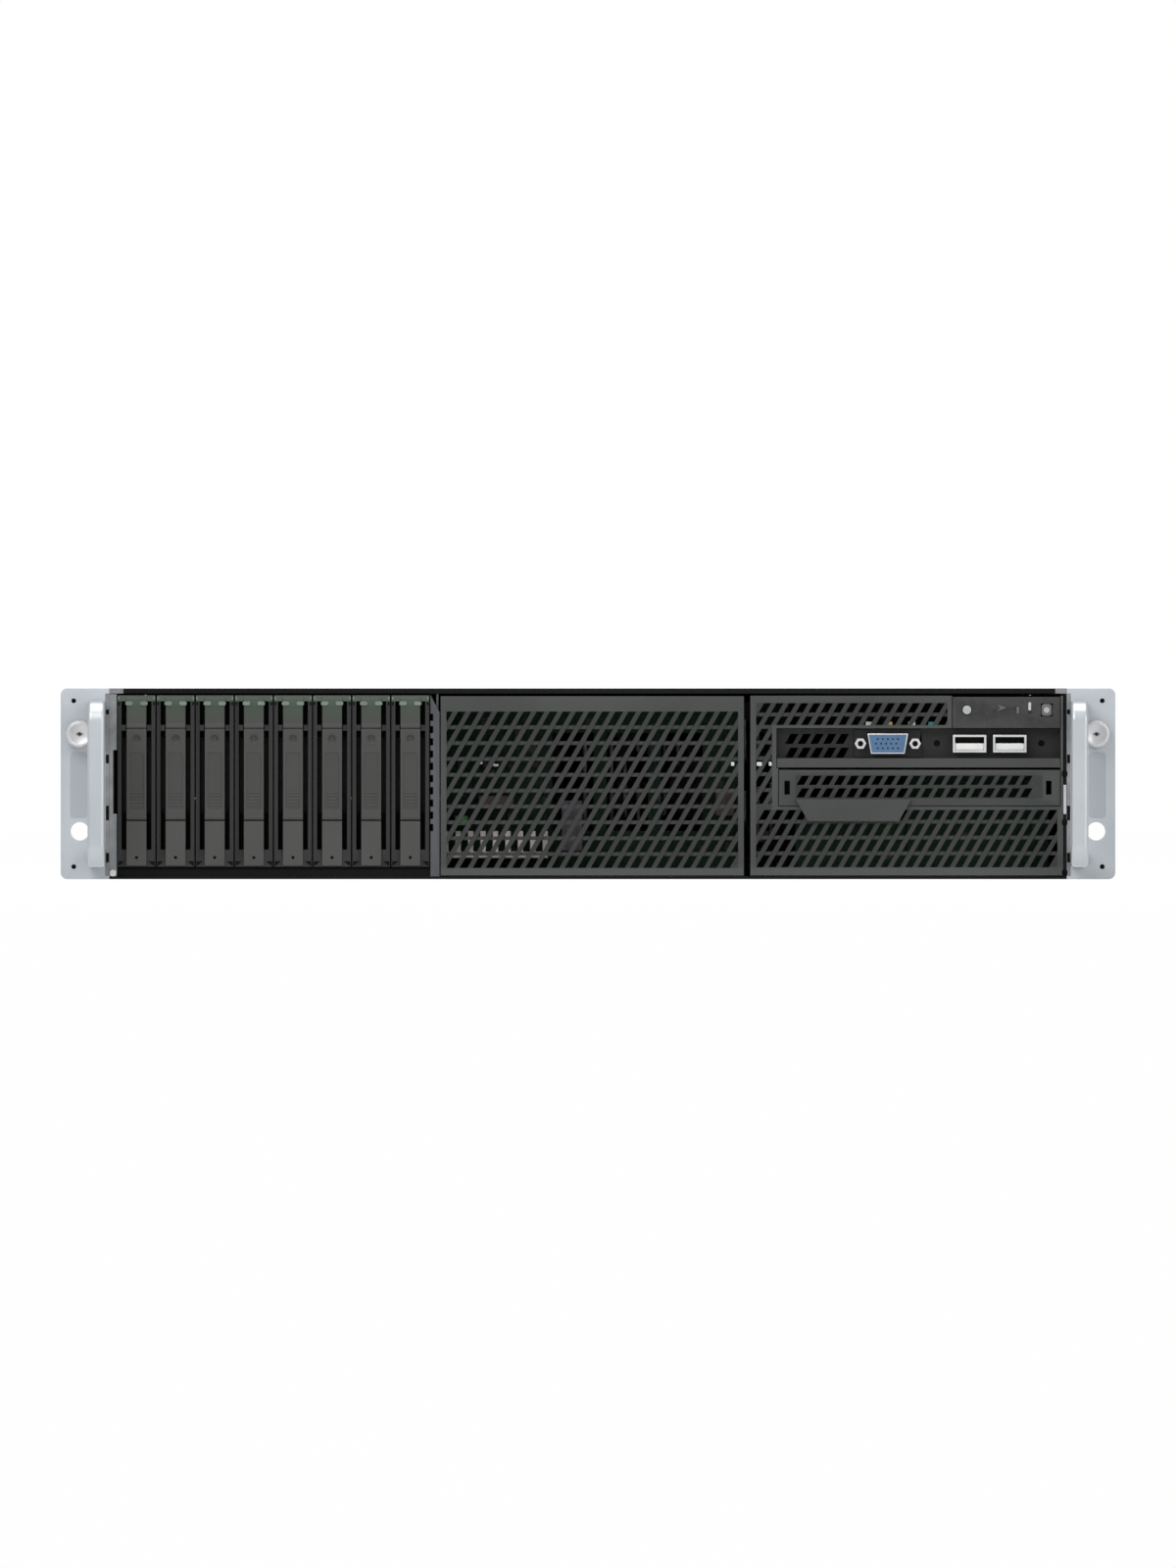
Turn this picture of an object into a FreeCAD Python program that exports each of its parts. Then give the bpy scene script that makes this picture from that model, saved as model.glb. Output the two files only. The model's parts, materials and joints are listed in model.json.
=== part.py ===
import FreeCAD, Part
import math
import os
import Sketcher
from FreeCAD import Vector

# A rack server, two rack units tall, for a 19-inch rack. It stands with its front towards -Y,
# +X to the right seen from the front and +Z up. The origin is under the middle of the whole part,
# on the plane of its underside. All sizes are in millimetres.

DRIVING_SIZES = {
    # Rack standard
    "flange_margin": 8.75,
    "rack_hole_spread": 465.1,
    "rack_hole_step": 44.45,
    "lower_hole_height": 21.9,
    # Chassis
    "hole_to_wall": 13.55,
    "chassis_height": 87.3,
    "chassis_depth": 712.0,
    "steel": 1.2,
    "slide_gap": 0.3,
    "fit_gap": 0.2,
    "wall_flange": 8.0,
    "left_lip": 3.4,
    "lip_window_low": 30.0,
    "lip_window_high": 59.0,
    "lip_window_inset": 1.6,
    "bay_cover_depth": 150.0,
    "cover_lip": 2.4,
    "cover_travel_gap": 0.6,
    "grip_pad_width": 76.0,
    "grip_pad_depth": 26.0,
    "grip_pad_sink": 0.5,
    "stud_radius": 3.0,
    "stud_reach": 2.6,
    "stud_height": 43.6,
    "stud_first": 120.0,
    "stud_step": 230.0,
    "stud_count": 3,
    # Rack ears, handles and thumb screws
    "ear_thick": 2.0,
    "ear_side_depth": 72.0,
    "ear_side_low": 9.0,
    "ear_corner": 3.0,
    "rack_hole_radius": 4.2,
    "screw_hole_radius": 3.3,
    "handle_inset": 1.7,
    "handle_width": 7.8,
    "handle_reach": 36.0,
    "handle_thick": 8.0,
    "handle_low": 5.6,
    "handle_corner": 10.0,
    "handle_hand_corner": 5.0,
    "screw_head_radius": 6.5,
    "screw_head_length": 9.0,
    "screw_shank_radius": 2.9,
    "screw_shank_length": 14.0,
    "screw_socket_radius": 1.6,
    "screw_socket_depth": 1.8,
    # Drive bay
    "drive_count": 8,
    "drive_pitch": 17.9,
    "first_drive_inset": 12.4,
    "cage_left_gap": 0.4,
    "cage_sheet": 1.0,
    "cage_set_back": 1.5,
    "cage_depth": 117.0,
    "cage_top_gap": 1.7,
    "cage_floor": 4.2,
    "cage_right_reach": 12.9,
    "guide_width": 1.2,
    "guide_depth": 100.0,
    "guide_tall": 3.0,
    "column_lap": 3.8,
    "column_overhang": 0.5,
    "column_shoulder_drop": 10.9,
    "column_window": 1.3,
    "column_window_tall": 3.2,
    "column_window_pitch": 5.6,
    "column_window_low": 22.0,
    "column_window_count": 10,
    # Drive carrier, lever and release button
    "carrier_width": 17.3,
    "carrier_low": 5.6,
    "carrier_top_gap": 3.2,
    "carrier_proud": 1.0,
    "carrier_face_depth": 6.5,
    "channel_width": 13.7,
    "channel_depth": 4.8,
    "channel_low": 13.5,
    "channel_top_gap": 3.8,
    "strip_width": 9.1,
    "strip_proud": 1.6,
    "foot_low": 6.2,
    "foot_high": 26.6,
    "lever_thick": 3.2,
    "lever_top_gap": 18.5,
    "lever_gap": 0.3,
    "lever_grip": 1.4,
    "lever_heel_radius": 1.5,
    "button_top_gap": 4.1,
    "button_thick": 2.8,
    "button_nib": 1.4,
    "bridge_low_drop": 19.4,
    "bridge_high_drop": 16.7,
    "vent_width": 1.7,
    "vent_low": 30.0,
    "vent_high": 65.0,
    "rail_width": 15.6,
    "rail_tall": 4.2,
    "rail_depth": 105.0,
    "drive_width": 15.0,
    "drive_height_gap": 8.65,
    "drive_length": 100.4,
    "drive_set_back": 8.0,
    "drive_lid_sink": 0.6,
    "drive_lid_border": 4.0,
    # Backplane
    "board_thick": 1.6,
    "backplane_low": 7.0,
    "backplane_top_gap": 7.3,
    "plug_width": 5.0,
    "plug_tall": 42.0,
    "plug_depth": 8.2,
    "board_slot_width": 6.0,
    "board_slot_tall": 52.0,
    # Slanted mesh of both bay panels
    "mesh_thick": 1.2,
    "mesh_rim": 9.0,
    "mesh_slant": 30.0,
    "mesh_pitch_x": 6.0,
    "mesh_pitch_z": 7.25,
    "mesh_web": 2.4,
    "mesh_bar": 1.7,
    "mesh_least": 3.0,
    "center_gap": 0.5,
    "panel_gap": 3.0,
    "center_low": 1.7,
    "center_top_gap": 3.6,
    "center_top_bar": 7.0,
    "center_bottom_bar": 3.4,
    "center_side_bar": 2.6,
    # Right bay
    "right_width": 143.1,
    "right_inset": 1.6,
    "right_low": 1.7,
    "right_top_gap": 3.4,
    "right_pitch_x": 5.68,
    "right_border": 2.6,
    "right_mesh_low": 5.4,
    "right_top_low_drop": 16.8,
    "right_top_high_drop": 6.7,
    "right_top_pitch": 5.7,
    "right_land": 2.0,
    "port_bay_inset": 12.2,
    "port_bay_low_drop": 36.5,
    "port_bay_high_drop": 18.5,
    "port_bay_margin": 1.4,
    "port_plate_sink": 6.0,
    "port_ledge": 4.2,
    "port_hole_pitch": 5.8,
    "port_hole_width": 3.6,
    "port_hole_tall": 4.6,
    "port_hole_drop": 31.7,
    "port_hole_step": 6.3,
    "port_hole_count": 5,
    "bay_gap": 0.3,
    "control_width": 49.2,
    "control_top_gap": 3.9,
    "control_depth": 16.0,
    "control_proud": 0.6,
    "button_gap": 0.25,
    "power_inset": 7.5,
    "power_drop": 9.9,
    "power_width": 4.8,
    "power_tall": 5.4,
    "id_inset": 44.0,
    "id_drop": 9.9,
    "id_radius": 2.0,
    "key_proud": 0.6,
    "key_length": 8.0,
    "key_collar": 0.8,
    "light_inset": 18.0,
    "light_spread": 5.4,
    "light_count": 2,
    "light_width": 1.4,
    "light_tall": 3.4,
    "vga_inset": 62.9,
    "port_drop": 25.3,
    "vga_width": 18.6,
    "vga_tall": 9.3,
    "vga_taper": 1.6,
    "vga_flange_width": 31.0,
    "vga_flange_tall": 12.6,
    "vga_nut_spread": 25.0,
    "vga_nut_radius": 2.7,
    "vga_reach": 5.6,
    "usb_inset": 42.8,
    "usb_step": 18.4,
    "usb_width": 15.3,
    "usb_tall": 8.1,
    "usb_wall": 1.0,
    "usb_reach": 5.4,
    "usb_length": 18.0,
    "usb_tongue": 2.8,
    "port_shell": 0.8,
    # Filler of the slim optical drive bay
    "filler_inset": 0.9,
    "filler_low_drop": 53.6,
    "filler_high_drop": 37.3,
    "filler_proud": 0.8,
    "filler_sheet": 1.5,
    "filler_tray_depth": 60.0,
    "filler_slot_width": 2.5,
    "filler_slot_tall": 6.3,
    "filler_slot_inset": 3.7,
    "filler_row_rise": 3.7,
    "filler_row_step": 5.7,
    "filler_hole_tall": 4.2,
    "filler_hole_width": 3.4,
    "filler_holes_inset": 8.0,
    "filler_holes_margin": 9.0,
    "tab_inset": 7.6,
    "tab_width": 52.9,
    "tab_drop": 7.2,
    "tab_slope": 5.7,
    "tab_thick": 1.6,
    # Fans
    "fan_count": 4,
    "fan_side_room": 14.0,
    "fan_height_gap": 7.3,
    "fan_depth": 38.0,
    "fan_set_back": 172.0,
    "fan_duct_wall": 2.0,
    "fan_hub_radius": 16.0,
    "fan_tip_gap": 2.0,
    "fan_blade_thick": 1.6,
    "fan_blade_sweep": 14.0,
    "fan_motor_thick": 3.0,
    "fan_strut": 4.0,
    "fan_blades": 5,
    "fan_bearing_gap": 0.3,
    # Main board and what stands on it
    "main_board_inset": 5.0,
    "main_board_margin": 11.0,
    "waist_gap": 5.0,
    "main_board_front": 228.0,
    "main_board_z": 8.0,
    "standoff_radius": 3.0,
    "processor_count": 2,
    "socket_size": 74.0,
    "socket_tall": 7.0,
    "socket_inset": 91.0,
    "socket_side_room": 98.0,
    "socket_y": 338.0,
    "sink_size": 88.0,
    "sink_base": 5.0,
    "sink_top_gap": 12.7,
    "sink_fins": 15,
    "sink_fin": 1.4,
    "bank_side_room": 7.5,
    "module_pitch": 9.3,
    "module_reach": 50.5,
    "module_thick": 1.4,
    "module_tall": 26.0,
    "module_length": 133.0,
    "module_slot_width": 6.4,
    "module_slot_tall": 8.0,
    "duct_wall": 1.6,
    "duct_top_gap": 5.3,
    "duct_inset": 13.0,
    "duct_margin": 19.0,
    "duct_front": 222.0,
    "duct_depth": 200.0,
    "duct_step": 30.0,
    "duct_step_drop": 12.0,
    # Distribution board behind the centre bay
    "power_board_back": 60.0,
    "power_board_top_gap": 9.3,
    "power_board_windows": 3,
    "comb_inset": 1.0,
    "comb_width": 48.0,
    "comb_teeth": 9,
    "comb_low": 9.5,
    "comb_bar": 3.0,
    "comb_high": 22.0,
    "comb_reach": 34.0,
    "comb_tooth": 2.4,
    # Power supplies
    "supply_count": 2,
    "supply_width": 73.5,
    "supply_height_room": 8.1,
    "supply_length": 185.0,
    "supply_side_gap": 4.5,
    "supply_low": 2.0,
    "supply_gap": 1.8,
    "supply_handle_reach": 25.0,
    "supply_handle_thick": 4.0,
    "supply_handle_width": 24.0,
    "inlet_width": 27.0,
    "inlet_tall": 19.6,
    "inlet_depth": 16.0,
    "inlet_inset": 4.0,
    "inlet_drop": 4.0,
    "supply_fan_edge": 2.3,
    "supply_fan_sink": 5.0,
    "supply_spoke": 1.6,
    "latch_width": 9.0,
    "latch_thick": 2.4,
    "latch_reach": 12.0,
    "latch_pin_radius": 1.5,
    # Rear of the chassis
    "rear_port_inset": 31.0,
    "rear_port_width": 150.0,
    "rear_port_tall": 27.0,
    "rear_port_depth": 24.0,
    "lan_width": 11.8,
    "lan_tall": 7.6,
    "lan_depth": 13.0,
    "lan_step": 16.5,
    "lan_count": 3,
    "rear_usb_width": 12.6,
    "rear_usb_tall": 5.2,
    "rear_usb_count": 2,
    "rear_vga_width": 17.0,
    "riser_inset": 13.0,
    "riser_step": 146.0,
    "riser_count": 2,
    "riser_slots": 3,
    "riser_top_gap": 3.7,
    "slot_length": 118.0,
    "slot_bar": 3.6,
    "slot_low": 38.0,
    "riser_depth": 168.0,
    "riser_card_depth": 110.0,
}

SAME_PLACE = 0.02
FAN_DUCT_SIDES = 20
document = FreeCAD.newDocument("RackServer")
pieces = []


class Size:
    """A length that knows its number and the spreadsheet expression that it comes from."""

    def __init__(self, text, number):
        self.text = text
        self.number = number

    def __add__(self, other):
        other = as_size(other)
        return Size(f"({self.text} + {other.text})", self.number + other.number)

    def __sub__(self, other):
        other = as_size(other)
        return Size(f"({self.text} - {other.text})", self.number - other.number)

    def __mul__(self, other):
        other = as_size(other)
        return Size(f"({self.text} * {other.text})", self.number * other.number)

    def __truediv__(self, other):
        other = as_size(other)
        return Size(f"({self.text} / {other.text})", self.number / other.number)

    def __neg__(self):
        return Size(f"(-1 * {self.text})", -self.number)

    __radd__ = __add__
    __rmul__ = __mul__

    def __rsub__(self, other):
        return as_size(other) - self


def as_size(value):
    """A plain number or a size, as a size."""
    if isinstance(value, Size):
        return value
    return Size(repr(value), float(value))


def tangent(angle):
    """The tangent of a size in degrees."""
    return Size(f"tan({angle.text} * 1 deg)", math.tan(math.radians(angle.number)))


def whole(value):
    """A size rounded down to a whole number."""
    return Size(f"floor({value.text})", float(math.floor(value.number)))


def numbers(count):
    """The numbers of repeated pieces, from one up to a count."""
    return range(1, int(count.number) + 1)


class DrivingSizes:
    """Every driving size, read from the spreadsheet by its name."""

    def __init__(self, sheet):
        self.sheet = sheet

    def __getattr__(self, name):
        return Size("Sizes." + name, float(self.sheet.get(name)))


def make_sheet():
    """The spreadsheet that holds the driving sizes."""
    sheet = document.addObject("Spreadsheet::Sheet", "Sizes")
    for row, (name, number) in enumerate(DRIVING_SIZES.items(), start=1):
        sheet.set(f"A{row}", name)
        sheet.set(f"B{row}", str(number))
        sheet.setAlias(f"B{row}", name)
    document.recompute()
    return sheet


s = DrivingSizes(make_sheet())

# Sizes and places worked out from the driving sizes
rack_width = s.rack_hole_spread + s.flange_margin * 2
chassis_width = s.rack_hole_spread - s.hole_to_wall * 2
half_width = chassis_width / 2
cage_top = s.chassis_height - s.cage_top_gap
column_shoulder = s.chassis_height - s.column_shoulder_drop
carrier_high = s.chassis_height - s.carrier_top_gap
channel_high = s.chassis_height - s.channel_top_gap
button_high = s.chassis_height - s.button_top_gap
lever_high = s.chassis_height - s.lever_top_gap
bridge_low = s.chassis_height - s.bridge_low_drop
bridge_high = s.chassis_height - s.bridge_high_drop
backplane_high = s.chassis_height - s.backplane_top_gap
center_high = s.chassis_height - s.center_top_gap
right_high = s.chassis_height - s.right_top_gap
right_top_low = s.chassis_height - s.right_top_low_drop
right_top_high = s.chassis_height - s.right_top_high_drop
port_bay_low = s.chassis_height - s.port_bay_low_drop
port_bay_high = s.chassis_height - s.port_bay_high_drop
port_hole_low = s.chassis_height - s.port_hole_drop
control_high = s.chassis_height - s.control_top_gap
power_z = s.chassis_height - s.power_drop
id_z = s.chassis_height - s.id_drop
port_z = s.chassis_height - s.port_drop
filler_low = s.chassis_height - s.filler_low_drop
filler_high = s.chassis_height - s.filler_high_drop
power_board_high = s.chassis_height - s.power_board_top_gap
duct_top = s.chassis_height - s.duct_top_gap
filler_row_low = filler_low + s.filler_row_rise
tab_low = filler_low - s.tab_drop
drive_tall = carrier_high - s.carrier_low - s.drive_height_gap
plug_middle = (carrier_high + s.carrier_low) / 2
fan_size = s.chassis_height - s.fan_height_gap
fan_duct_radius = fan_size / 2 - s.fan_duct_wall
fan_pitch = (chassis_width - s.fan_side_room) / s.fan_count
sink_tall = s.chassis_height - s.sink_top_gap - s.main_board_z - s.board_thick - s.socket_tall
supply_tall = (s.chassis_height - s.supply_height_room) / s.supply_count
supply_step = supply_tall + s.supply_gap
supply_fan_radius = supply_tall / 2 - s.supply_fan_edge
slot_pitch = (s.chassis_height - s.riser_top_gap - s.slot_low) / s.riser_slots
slot_tall = slot_pitch - s.slot_bar
first_drive_x = -half_width + s.first_drive_inset
cage_right_x = first_drive_x + (s.drive_count - 1) * s.drive_pitch + s.cage_right_reach
column_left_x = cage_right_x - s.column_lap
column_right_x = cage_right_x + s.column_overhang
center_left_x = column_right_x + s.center_gap
right_right_x = half_width - s.right_inset
right_left_x = right_right_x - s.right_width
center_right_x = right_left_x - s.panel_gap
port_bay_left = right_left_x + s.port_bay_inset
port_bay_right = right_right_x - s.port_bay_margin
control_left = port_bay_right - s.control_width
power_x = right_right_x - s.power_inset
id_x = right_right_x - s.id_inset
light_x = right_right_x - s.light_inset
vga_x = right_left_x + s.vga_inset
usb_first_x = right_right_x - s.usb_inset
filler_left = port_bay_left + s.filler_inset
filler_right = port_bay_right
filler_holes_from = filler_left + s.filler_holes_inset
filler_holes_to = filler_right - s.filler_holes_margin
tab_left = filler_left + s.tab_inset
tab_right = tab_left + s.tab_width
comb_left = center_left_x + s.comb_inset
main_board_left = -half_width + s.main_board_inset
main_board_right = half_width - s.main_board_margin
supply_left_x = half_width - s.supply_side_gap - s.supply_width
main_board_waist = supply_left_x - s.waist_gap
duct_left = -half_width + s.duct_inset
duct_right = half_width - s.duct_margin
rear_port_left = -half_width + s.rear_port_inset
riser_left = -half_width + s.riser_inset
handle_inner_x = half_width + s.handle_inset
socket_first_x = -half_width + s.socket_inset
socket_step_x = (chassis_width - s.socket_side_room) / s.processor_count
module_first_x = socket_first_x + s.module_reach
module_bank_gap = socket_step_x
bank_modules = whole((socket_step_x - s.sink_size - s.bank_side_room) / s.module_pitch)

# Places that many pieces share
front = (s.handle_reach - s.chassis_depth - s.supply_handle_reach) / 2
rear = front + s.chassis_depth
cover_low = s.chassis_height - s.steel
wall_top = cover_low - s.fit_gap
cage_left = -half_width + s.steel + s.cage_left_gap
cage_front = front + s.cage_set_back
cage_back = cage_front + s.cage_depth
carrier_front = front - s.carrier_proud
strip_front = front - s.strip_proud
backplane_front = cage_back - s.board_thick
board_top = s.main_board_z + s.board_thick
upper_hole_height = s.lower_hole_height + s.rack_hole_step
supply_front = rear - s.supply_length


def bind(thing, **sizes):
    """Ties properties of a document object to sheet expressions."""
    for name, value in sizes.items():
        thing.setExpression(name, as_size(value).text)


def place(thing, x=None, y=None, z=None):
    """Ties the placement of a document object to sheet expressions."""
    for letter, value in (("x", x), ("y", y), ("z", z)):
        if value is not None:
            thing.setExpression(f"Placement.Base.{letter}", as_size(value).text)


def rectangle(left, right, low, high):
    """Four corners of a rectangle in a sketch."""
    return [(left, low), (right, low), (right, high), (left, high)]


def origin_feature(body, role):
    """A plane or an axis of a body's own origin."""
    return next(item for item in body.Origin.OriginFeatures if item.Role == role)


def new_body(label):
    """An empty body with the label of its sub-part."""
    body = document.addObject("PartDesign::Body", label)
    body.Label = label
    return body


def new_sketch(body, name, plane, offset):
    """A sketch on one of the body's origin planes, moved along the plane's normal."""
    sketch = body.newObject("Sketcher::SketchObject", name)
    sketch.AttachmentSupport = [(origin_feature(body, plane + "_Plane"), "")]
    sketch.MapMode = "FlatFace"
    sketch.setExpression("AttachmentOffset.Base.z", offset.text)
    return sketch


def draw_outline(sketch, points):
    """A closed outline of straight lines whose corners are tied to the sheet."""
    points = [(as_size(a), as_size(b)) for a, b in points]
    corners = [Vector(a.number, b.number, 0) for a, b in points]
    first = sketch.GeometryCount
    held = sketch.ConstraintCount
    count = len(corners)
    sketch.addGeometry([Part.LineSegment(corners[i], corners[(i + 1) % count]) for i in range(count)])
    rules = [Sketcher.Constraint("Coincident", first + i, 2, first + (i + 1) % count, 1)
             for i in range(count)]
    for i, corner in enumerate(corners):
        rules.append(Sketcher.Constraint("DistanceX", -1, 1, first + i, 1, corner.x))
        rules.append(Sketcher.Constraint("DistanceY", -1, 1, first + i, 1, corner.y))
    sketch.addConstraint(rules)
    for i, (a, b) in enumerate(points):
        sketch.setExpression(f"Constraints[{held + count + 2 * i}]", a.text)
        sketch.setExpression(f"Constraints[{held + count + 2 * i + 1}]", b.text)


def polygon(centre, radius, sides):
    """The corners of a regular polygon round a centre, with a flat side on top."""
    corners = []
    for number in range(sides):
        turn = math.radians((number + 0.5) * 360 / sides + 90)
        corners.append((centre[0] + radius * math.cos(turn), centre[1] + radius * math.sin(turn)))
    return corners


def draw_circle(sketch, centre, radius):
    """A circle whose centre and radius are tied to the sheet."""
    across, up = as_size(centre[0]), as_size(centre[1])
    first = sketch.GeometryCount
    held = sketch.ConstraintCount
    sketch.addGeometry(Part.Circle(Vector(across.number, up.number, 0), Vector(0, 0, 1), radius.number))
    sketch.addConstraint([
        Sketcher.Constraint("DistanceX", -1, 1, first, 3, across.number),
        Sketcher.Constraint("DistanceY", -1, 1, first, 3, up.number),
        Sketcher.Constraint("Radius", first, radius.number),
    ])
    for i, value in enumerate((across, up, radius)):
        sketch.setExpression(f"Constraints[{held + i}]", value.text)


def extrude(body, kind, name, plane, low, high, outlines=(), circles=()):
    """A pad or a pocket that fills its outlines from low to high along the plane's row axis."""
    low, high = as_size(low), as_size(high)
    offset = -low if plane == "XZ" else low
    sketch = new_sketch(body, name + "_outline", plane, offset)
    for points in outlines:
        draw_outline(sketch, points)
    for centre, radius in circles:
        draw_circle(sketch, centre, radius)
    feature = body.newObject("PartDesign::" + kind, name)
    feature.Profile = sketch
    feature.Reversed = (plane == "XZ") == (kind == "Pad")
    bind(feature, Length=high - low)
    return feature


def pad(body, name, plane, low, high, *outlines, circles=()):
    """Material added between two planes."""
    return extrude(body, "Pad", name, plane, low, high, outlines, circles)


def pocket(body, name, plane, low, high, *outlines, circles=()):
    """Material taken away between two planes."""
    return extrude(body, "Pocket", name, plane, low, high, outlines, circles)


def turned(body, name, points):
    """A profile of radius and place along Y, turned about the body's Y axis."""
    sketch = new_sketch(body, name + "_outline", "XY", as_size(0))
    draw_outline(sketch, points)
    feature = body.newObject("PartDesign::Revolution", name)
    feature.Profile = sketch
    feature.ReferenceAxis = (sketch, ["V_Axis"])
    feature.Angle = 360
    return feature


def repeat(body, features, axis, step, count):
    """Copies of features in a row along one of the body's axes."""
    row = body.newObject("PartDesign::LinearPattern", features[0].Name + "_row")
    row.Originals = features
    row.Direction = (origin_feature(body, axis + "_Axis"), [""])
    row.Mode = "Spacing"
    bind(row, Offset=step, Occurrences=count)
    body.Tip = row
    return row


def repeat_round(body, feature, count):
    """Copies of a feature in a ring about the body's Y axis."""
    ring = body.newObject("PartDesign::PolarPattern", feature.Name + "_ring")
    ring.Originals = [feature]
    ring.Axis = (origin_feature(body, "Y_Axis"), [""])
    ring.Angle = 360
    bind(ring, Occurrences=count)
    body.Tip = ring
    return ring


def edges_where(shape, test):
    """The names of the straight edges of a shape that pass a test of their two ends."""
    names = []
    for number, edge in enumerate(shape.Edges, start=1):
        if isinstance(edge.Curve, Part.Line) and test(edge.Vertexes[0].Point, edge.Vertexes[-1].Point):
            names.append(f"Edge{number}")
    return names


def round_edges(body, kind, name, test, radius):
    """A fillet or a chamfer on the straight edges of the body that pass a test."""
    document.recompute()
    base = body.Tip
    feature = body.newObject("PartDesign::" + kind, name)
    feature.Base = (base, edges_where(base.Shape, test))
    bind(feature, **{"Radius" if kind == "Fillet" else "Size": radius})
    return feature


def along_x(a, b):
    """True for an edge that runs along X."""
    return abs(a.y - b.y) < SAME_PLACE and abs(a.z - b.z) < SAME_PLACE


def along_y(a, b):
    """True for an edge that runs along Y."""
    return abs(a.x - b.x) < SAME_PLACE and abs(a.z - b.z) < SAME_PLACE


def near(value, size):
    """True where a coordinate lies on a size."""
    return abs(value - size.number) < SAME_PLACE


def block(x, y, z, name="block"):
    """A box primitive between two x, two y and two z places."""
    low = [as_size(pair[0]) for pair in (x, y, z)]
    high = [as_size(pair[1]) for pair in (x, y, z)]
    piece = document.addObject("Part::Box", name)
    bind(piece, Length=high[0] - low[0], Width=high[1] - low[1], Height=high[2] - low[2])
    place(piece, low[0], low[1], low[2])
    return piece


def upright(x, y, z, radius, name="post"):
    """A cylinder primitive that stands between two z places."""
    low, high = as_size(z[0]), as_size(z[1])
    piece = document.addObject("Part::Cylinder", name)
    bind(piece, Radius=radius, Height=high - low)
    place(piece, x, y, low)
    return piece


def fuse(label, parts):
    """One solid of several that touch."""
    joined = document.addObject("Part::MultiFuse", label)
    joined.Label = label
    joined.Shapes = parts
    joined.Refine = True
    return joined


def group(label, parts):
    """Several separate solids kept as one sub-part."""
    kept = document.addObject("Part::Compound", label)
    kept.Label = label
    kept.Links = parts
    return kept


def keep(piece):
    """Adds a finished sub-part to the list of those that are written."""
    pieces.append(piece)
    return piece


# Chassis

def pan_shell():
    """Folded pan with floor, side walls, rear wall, a left front lip and the rail studs."""
    body = new_body("pan_shell")
    inner = half_width - s.steel
    fold_x = half_width - s.wall_flange
    pad(body, "pan_section", "XZ", front, rear, [
        (-half_width, 0), (half_width, 0), (half_width, wall_top), (inner, wall_top),
        (inner, s.steel), (-inner, s.steel), (-inner, wall_top), (-half_width, wall_top)])
    flange_low = wall_top - s.steel
    pad(body, "pan_top_flanges", "XZ", front + s.bay_cover_depth, rear,
        rectangle(-half_width, -fold_x, flange_low, wall_top),
        rectangle(fold_x, half_width, flange_low, wall_top))
    pad(body, "pan_rear_wall", "XZ", rear - s.steel, rear, rectangle(-half_width, half_width, 0, wall_top))
    lip_x = -half_width + s.left_lip
    lip_top = s.chassis_height - s.cover_lip - s.fit_gap
    pad(body, "pan_left_lip", "XZ", front, front + s.steel, rectangle(-half_width, lip_x, 0, lip_top))
    pocket(body, "pan_lip_window", "XZ", front, front + s.steel,
           rectangle(lip_x - s.lip_window_inset, lip_x, s.lip_window_low, s.lip_window_high))
    bay_left = supply_left_x - s.slide_gap
    bay_right = supply_left_x + s.supply_width + s.slide_gap
    bay_high = s.supply_low + (s.supply_count - 1) * supply_step + supply_tall + s.slide_gap
    pocket(body, "pan_supply_opening", "XZ", rear - s.steel, rear,
           rectangle(bay_left, bay_right, s.supply_low - s.slide_gap, bay_high))
    port_right = rear_port_left + s.rear_port_width
    pocket(body, "pan_port_opening", "XZ", rear - s.steel, rear,
           rectangle(rear_port_left - s.fit_gap, port_right + s.fit_gap,
                     board_top - s.fit_gap, board_top + s.rear_port_tall + s.fit_gap))
    for number in numbers(s.riser_count):
        slot_left = riser_left + (number - 1) * s.riser_step
        slot = pocket(body, f"pan_card_slot_{number}", "XZ", rear - s.steel, rear,
                      rectangle(slot_left, slot_left + s.slot_length, s.slot_low, s.slot_low + slot_tall))
        repeat(body, [slot], "Z", slot_pitch, s.riser_slots)
    for side, low, high in (("left", -half_width - s.stud_reach, -half_width),
                            ("right", half_width, half_width + s.stud_reach)):
        centre = (front + s.stud_first, s.stud_height)
        stud = pad(body, f"pan_{side}_stud", "YZ", low, high, circles=[(centre, s.stud_radius)])
        repeat(body, [stud], "Y", s.stud_step, s.stud_count)
    return body


def supply_bay():
    """Inner wall beside the two power supplies and the shelf between them."""
    body = new_body("supply_bay")
    bay_left = supply_left_x - s.slide_gap
    bay_right = supply_left_x + s.supply_width + s.slide_gap
    wall_left = bay_left - s.cage_sheet
    shelf_low = s.supply_low + supply_tall + s.slide_gap
    shelf_high = s.supply_low + supply_step - s.slide_gap
    wall_high = s.supply_low + (s.supply_count - 1) * supply_step + supply_tall
    pad(body, "supply_bay_wall", "XZ", supply_front, rear - s.steel,
        rectangle(wall_left, bay_left, s.steel, wall_high))
    pad(body, "supply_bay_shelf", "XZ", supply_front, rear - s.steel,
        rectangle(wall_left, half_width - s.steel, shelf_low, shelf_high))
    pad(body, "supply_bay_shelf_end", "XZ", rear - s.steel, rear,
        rectangle(bay_left, bay_right, shelf_low, shelf_high))
    return body


def chassis_pan():
    """The folded pan with the riveted bay of the power supplies."""
    keep(group("chassis_pan", [pan_shell(), supply_bay()]))


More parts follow.
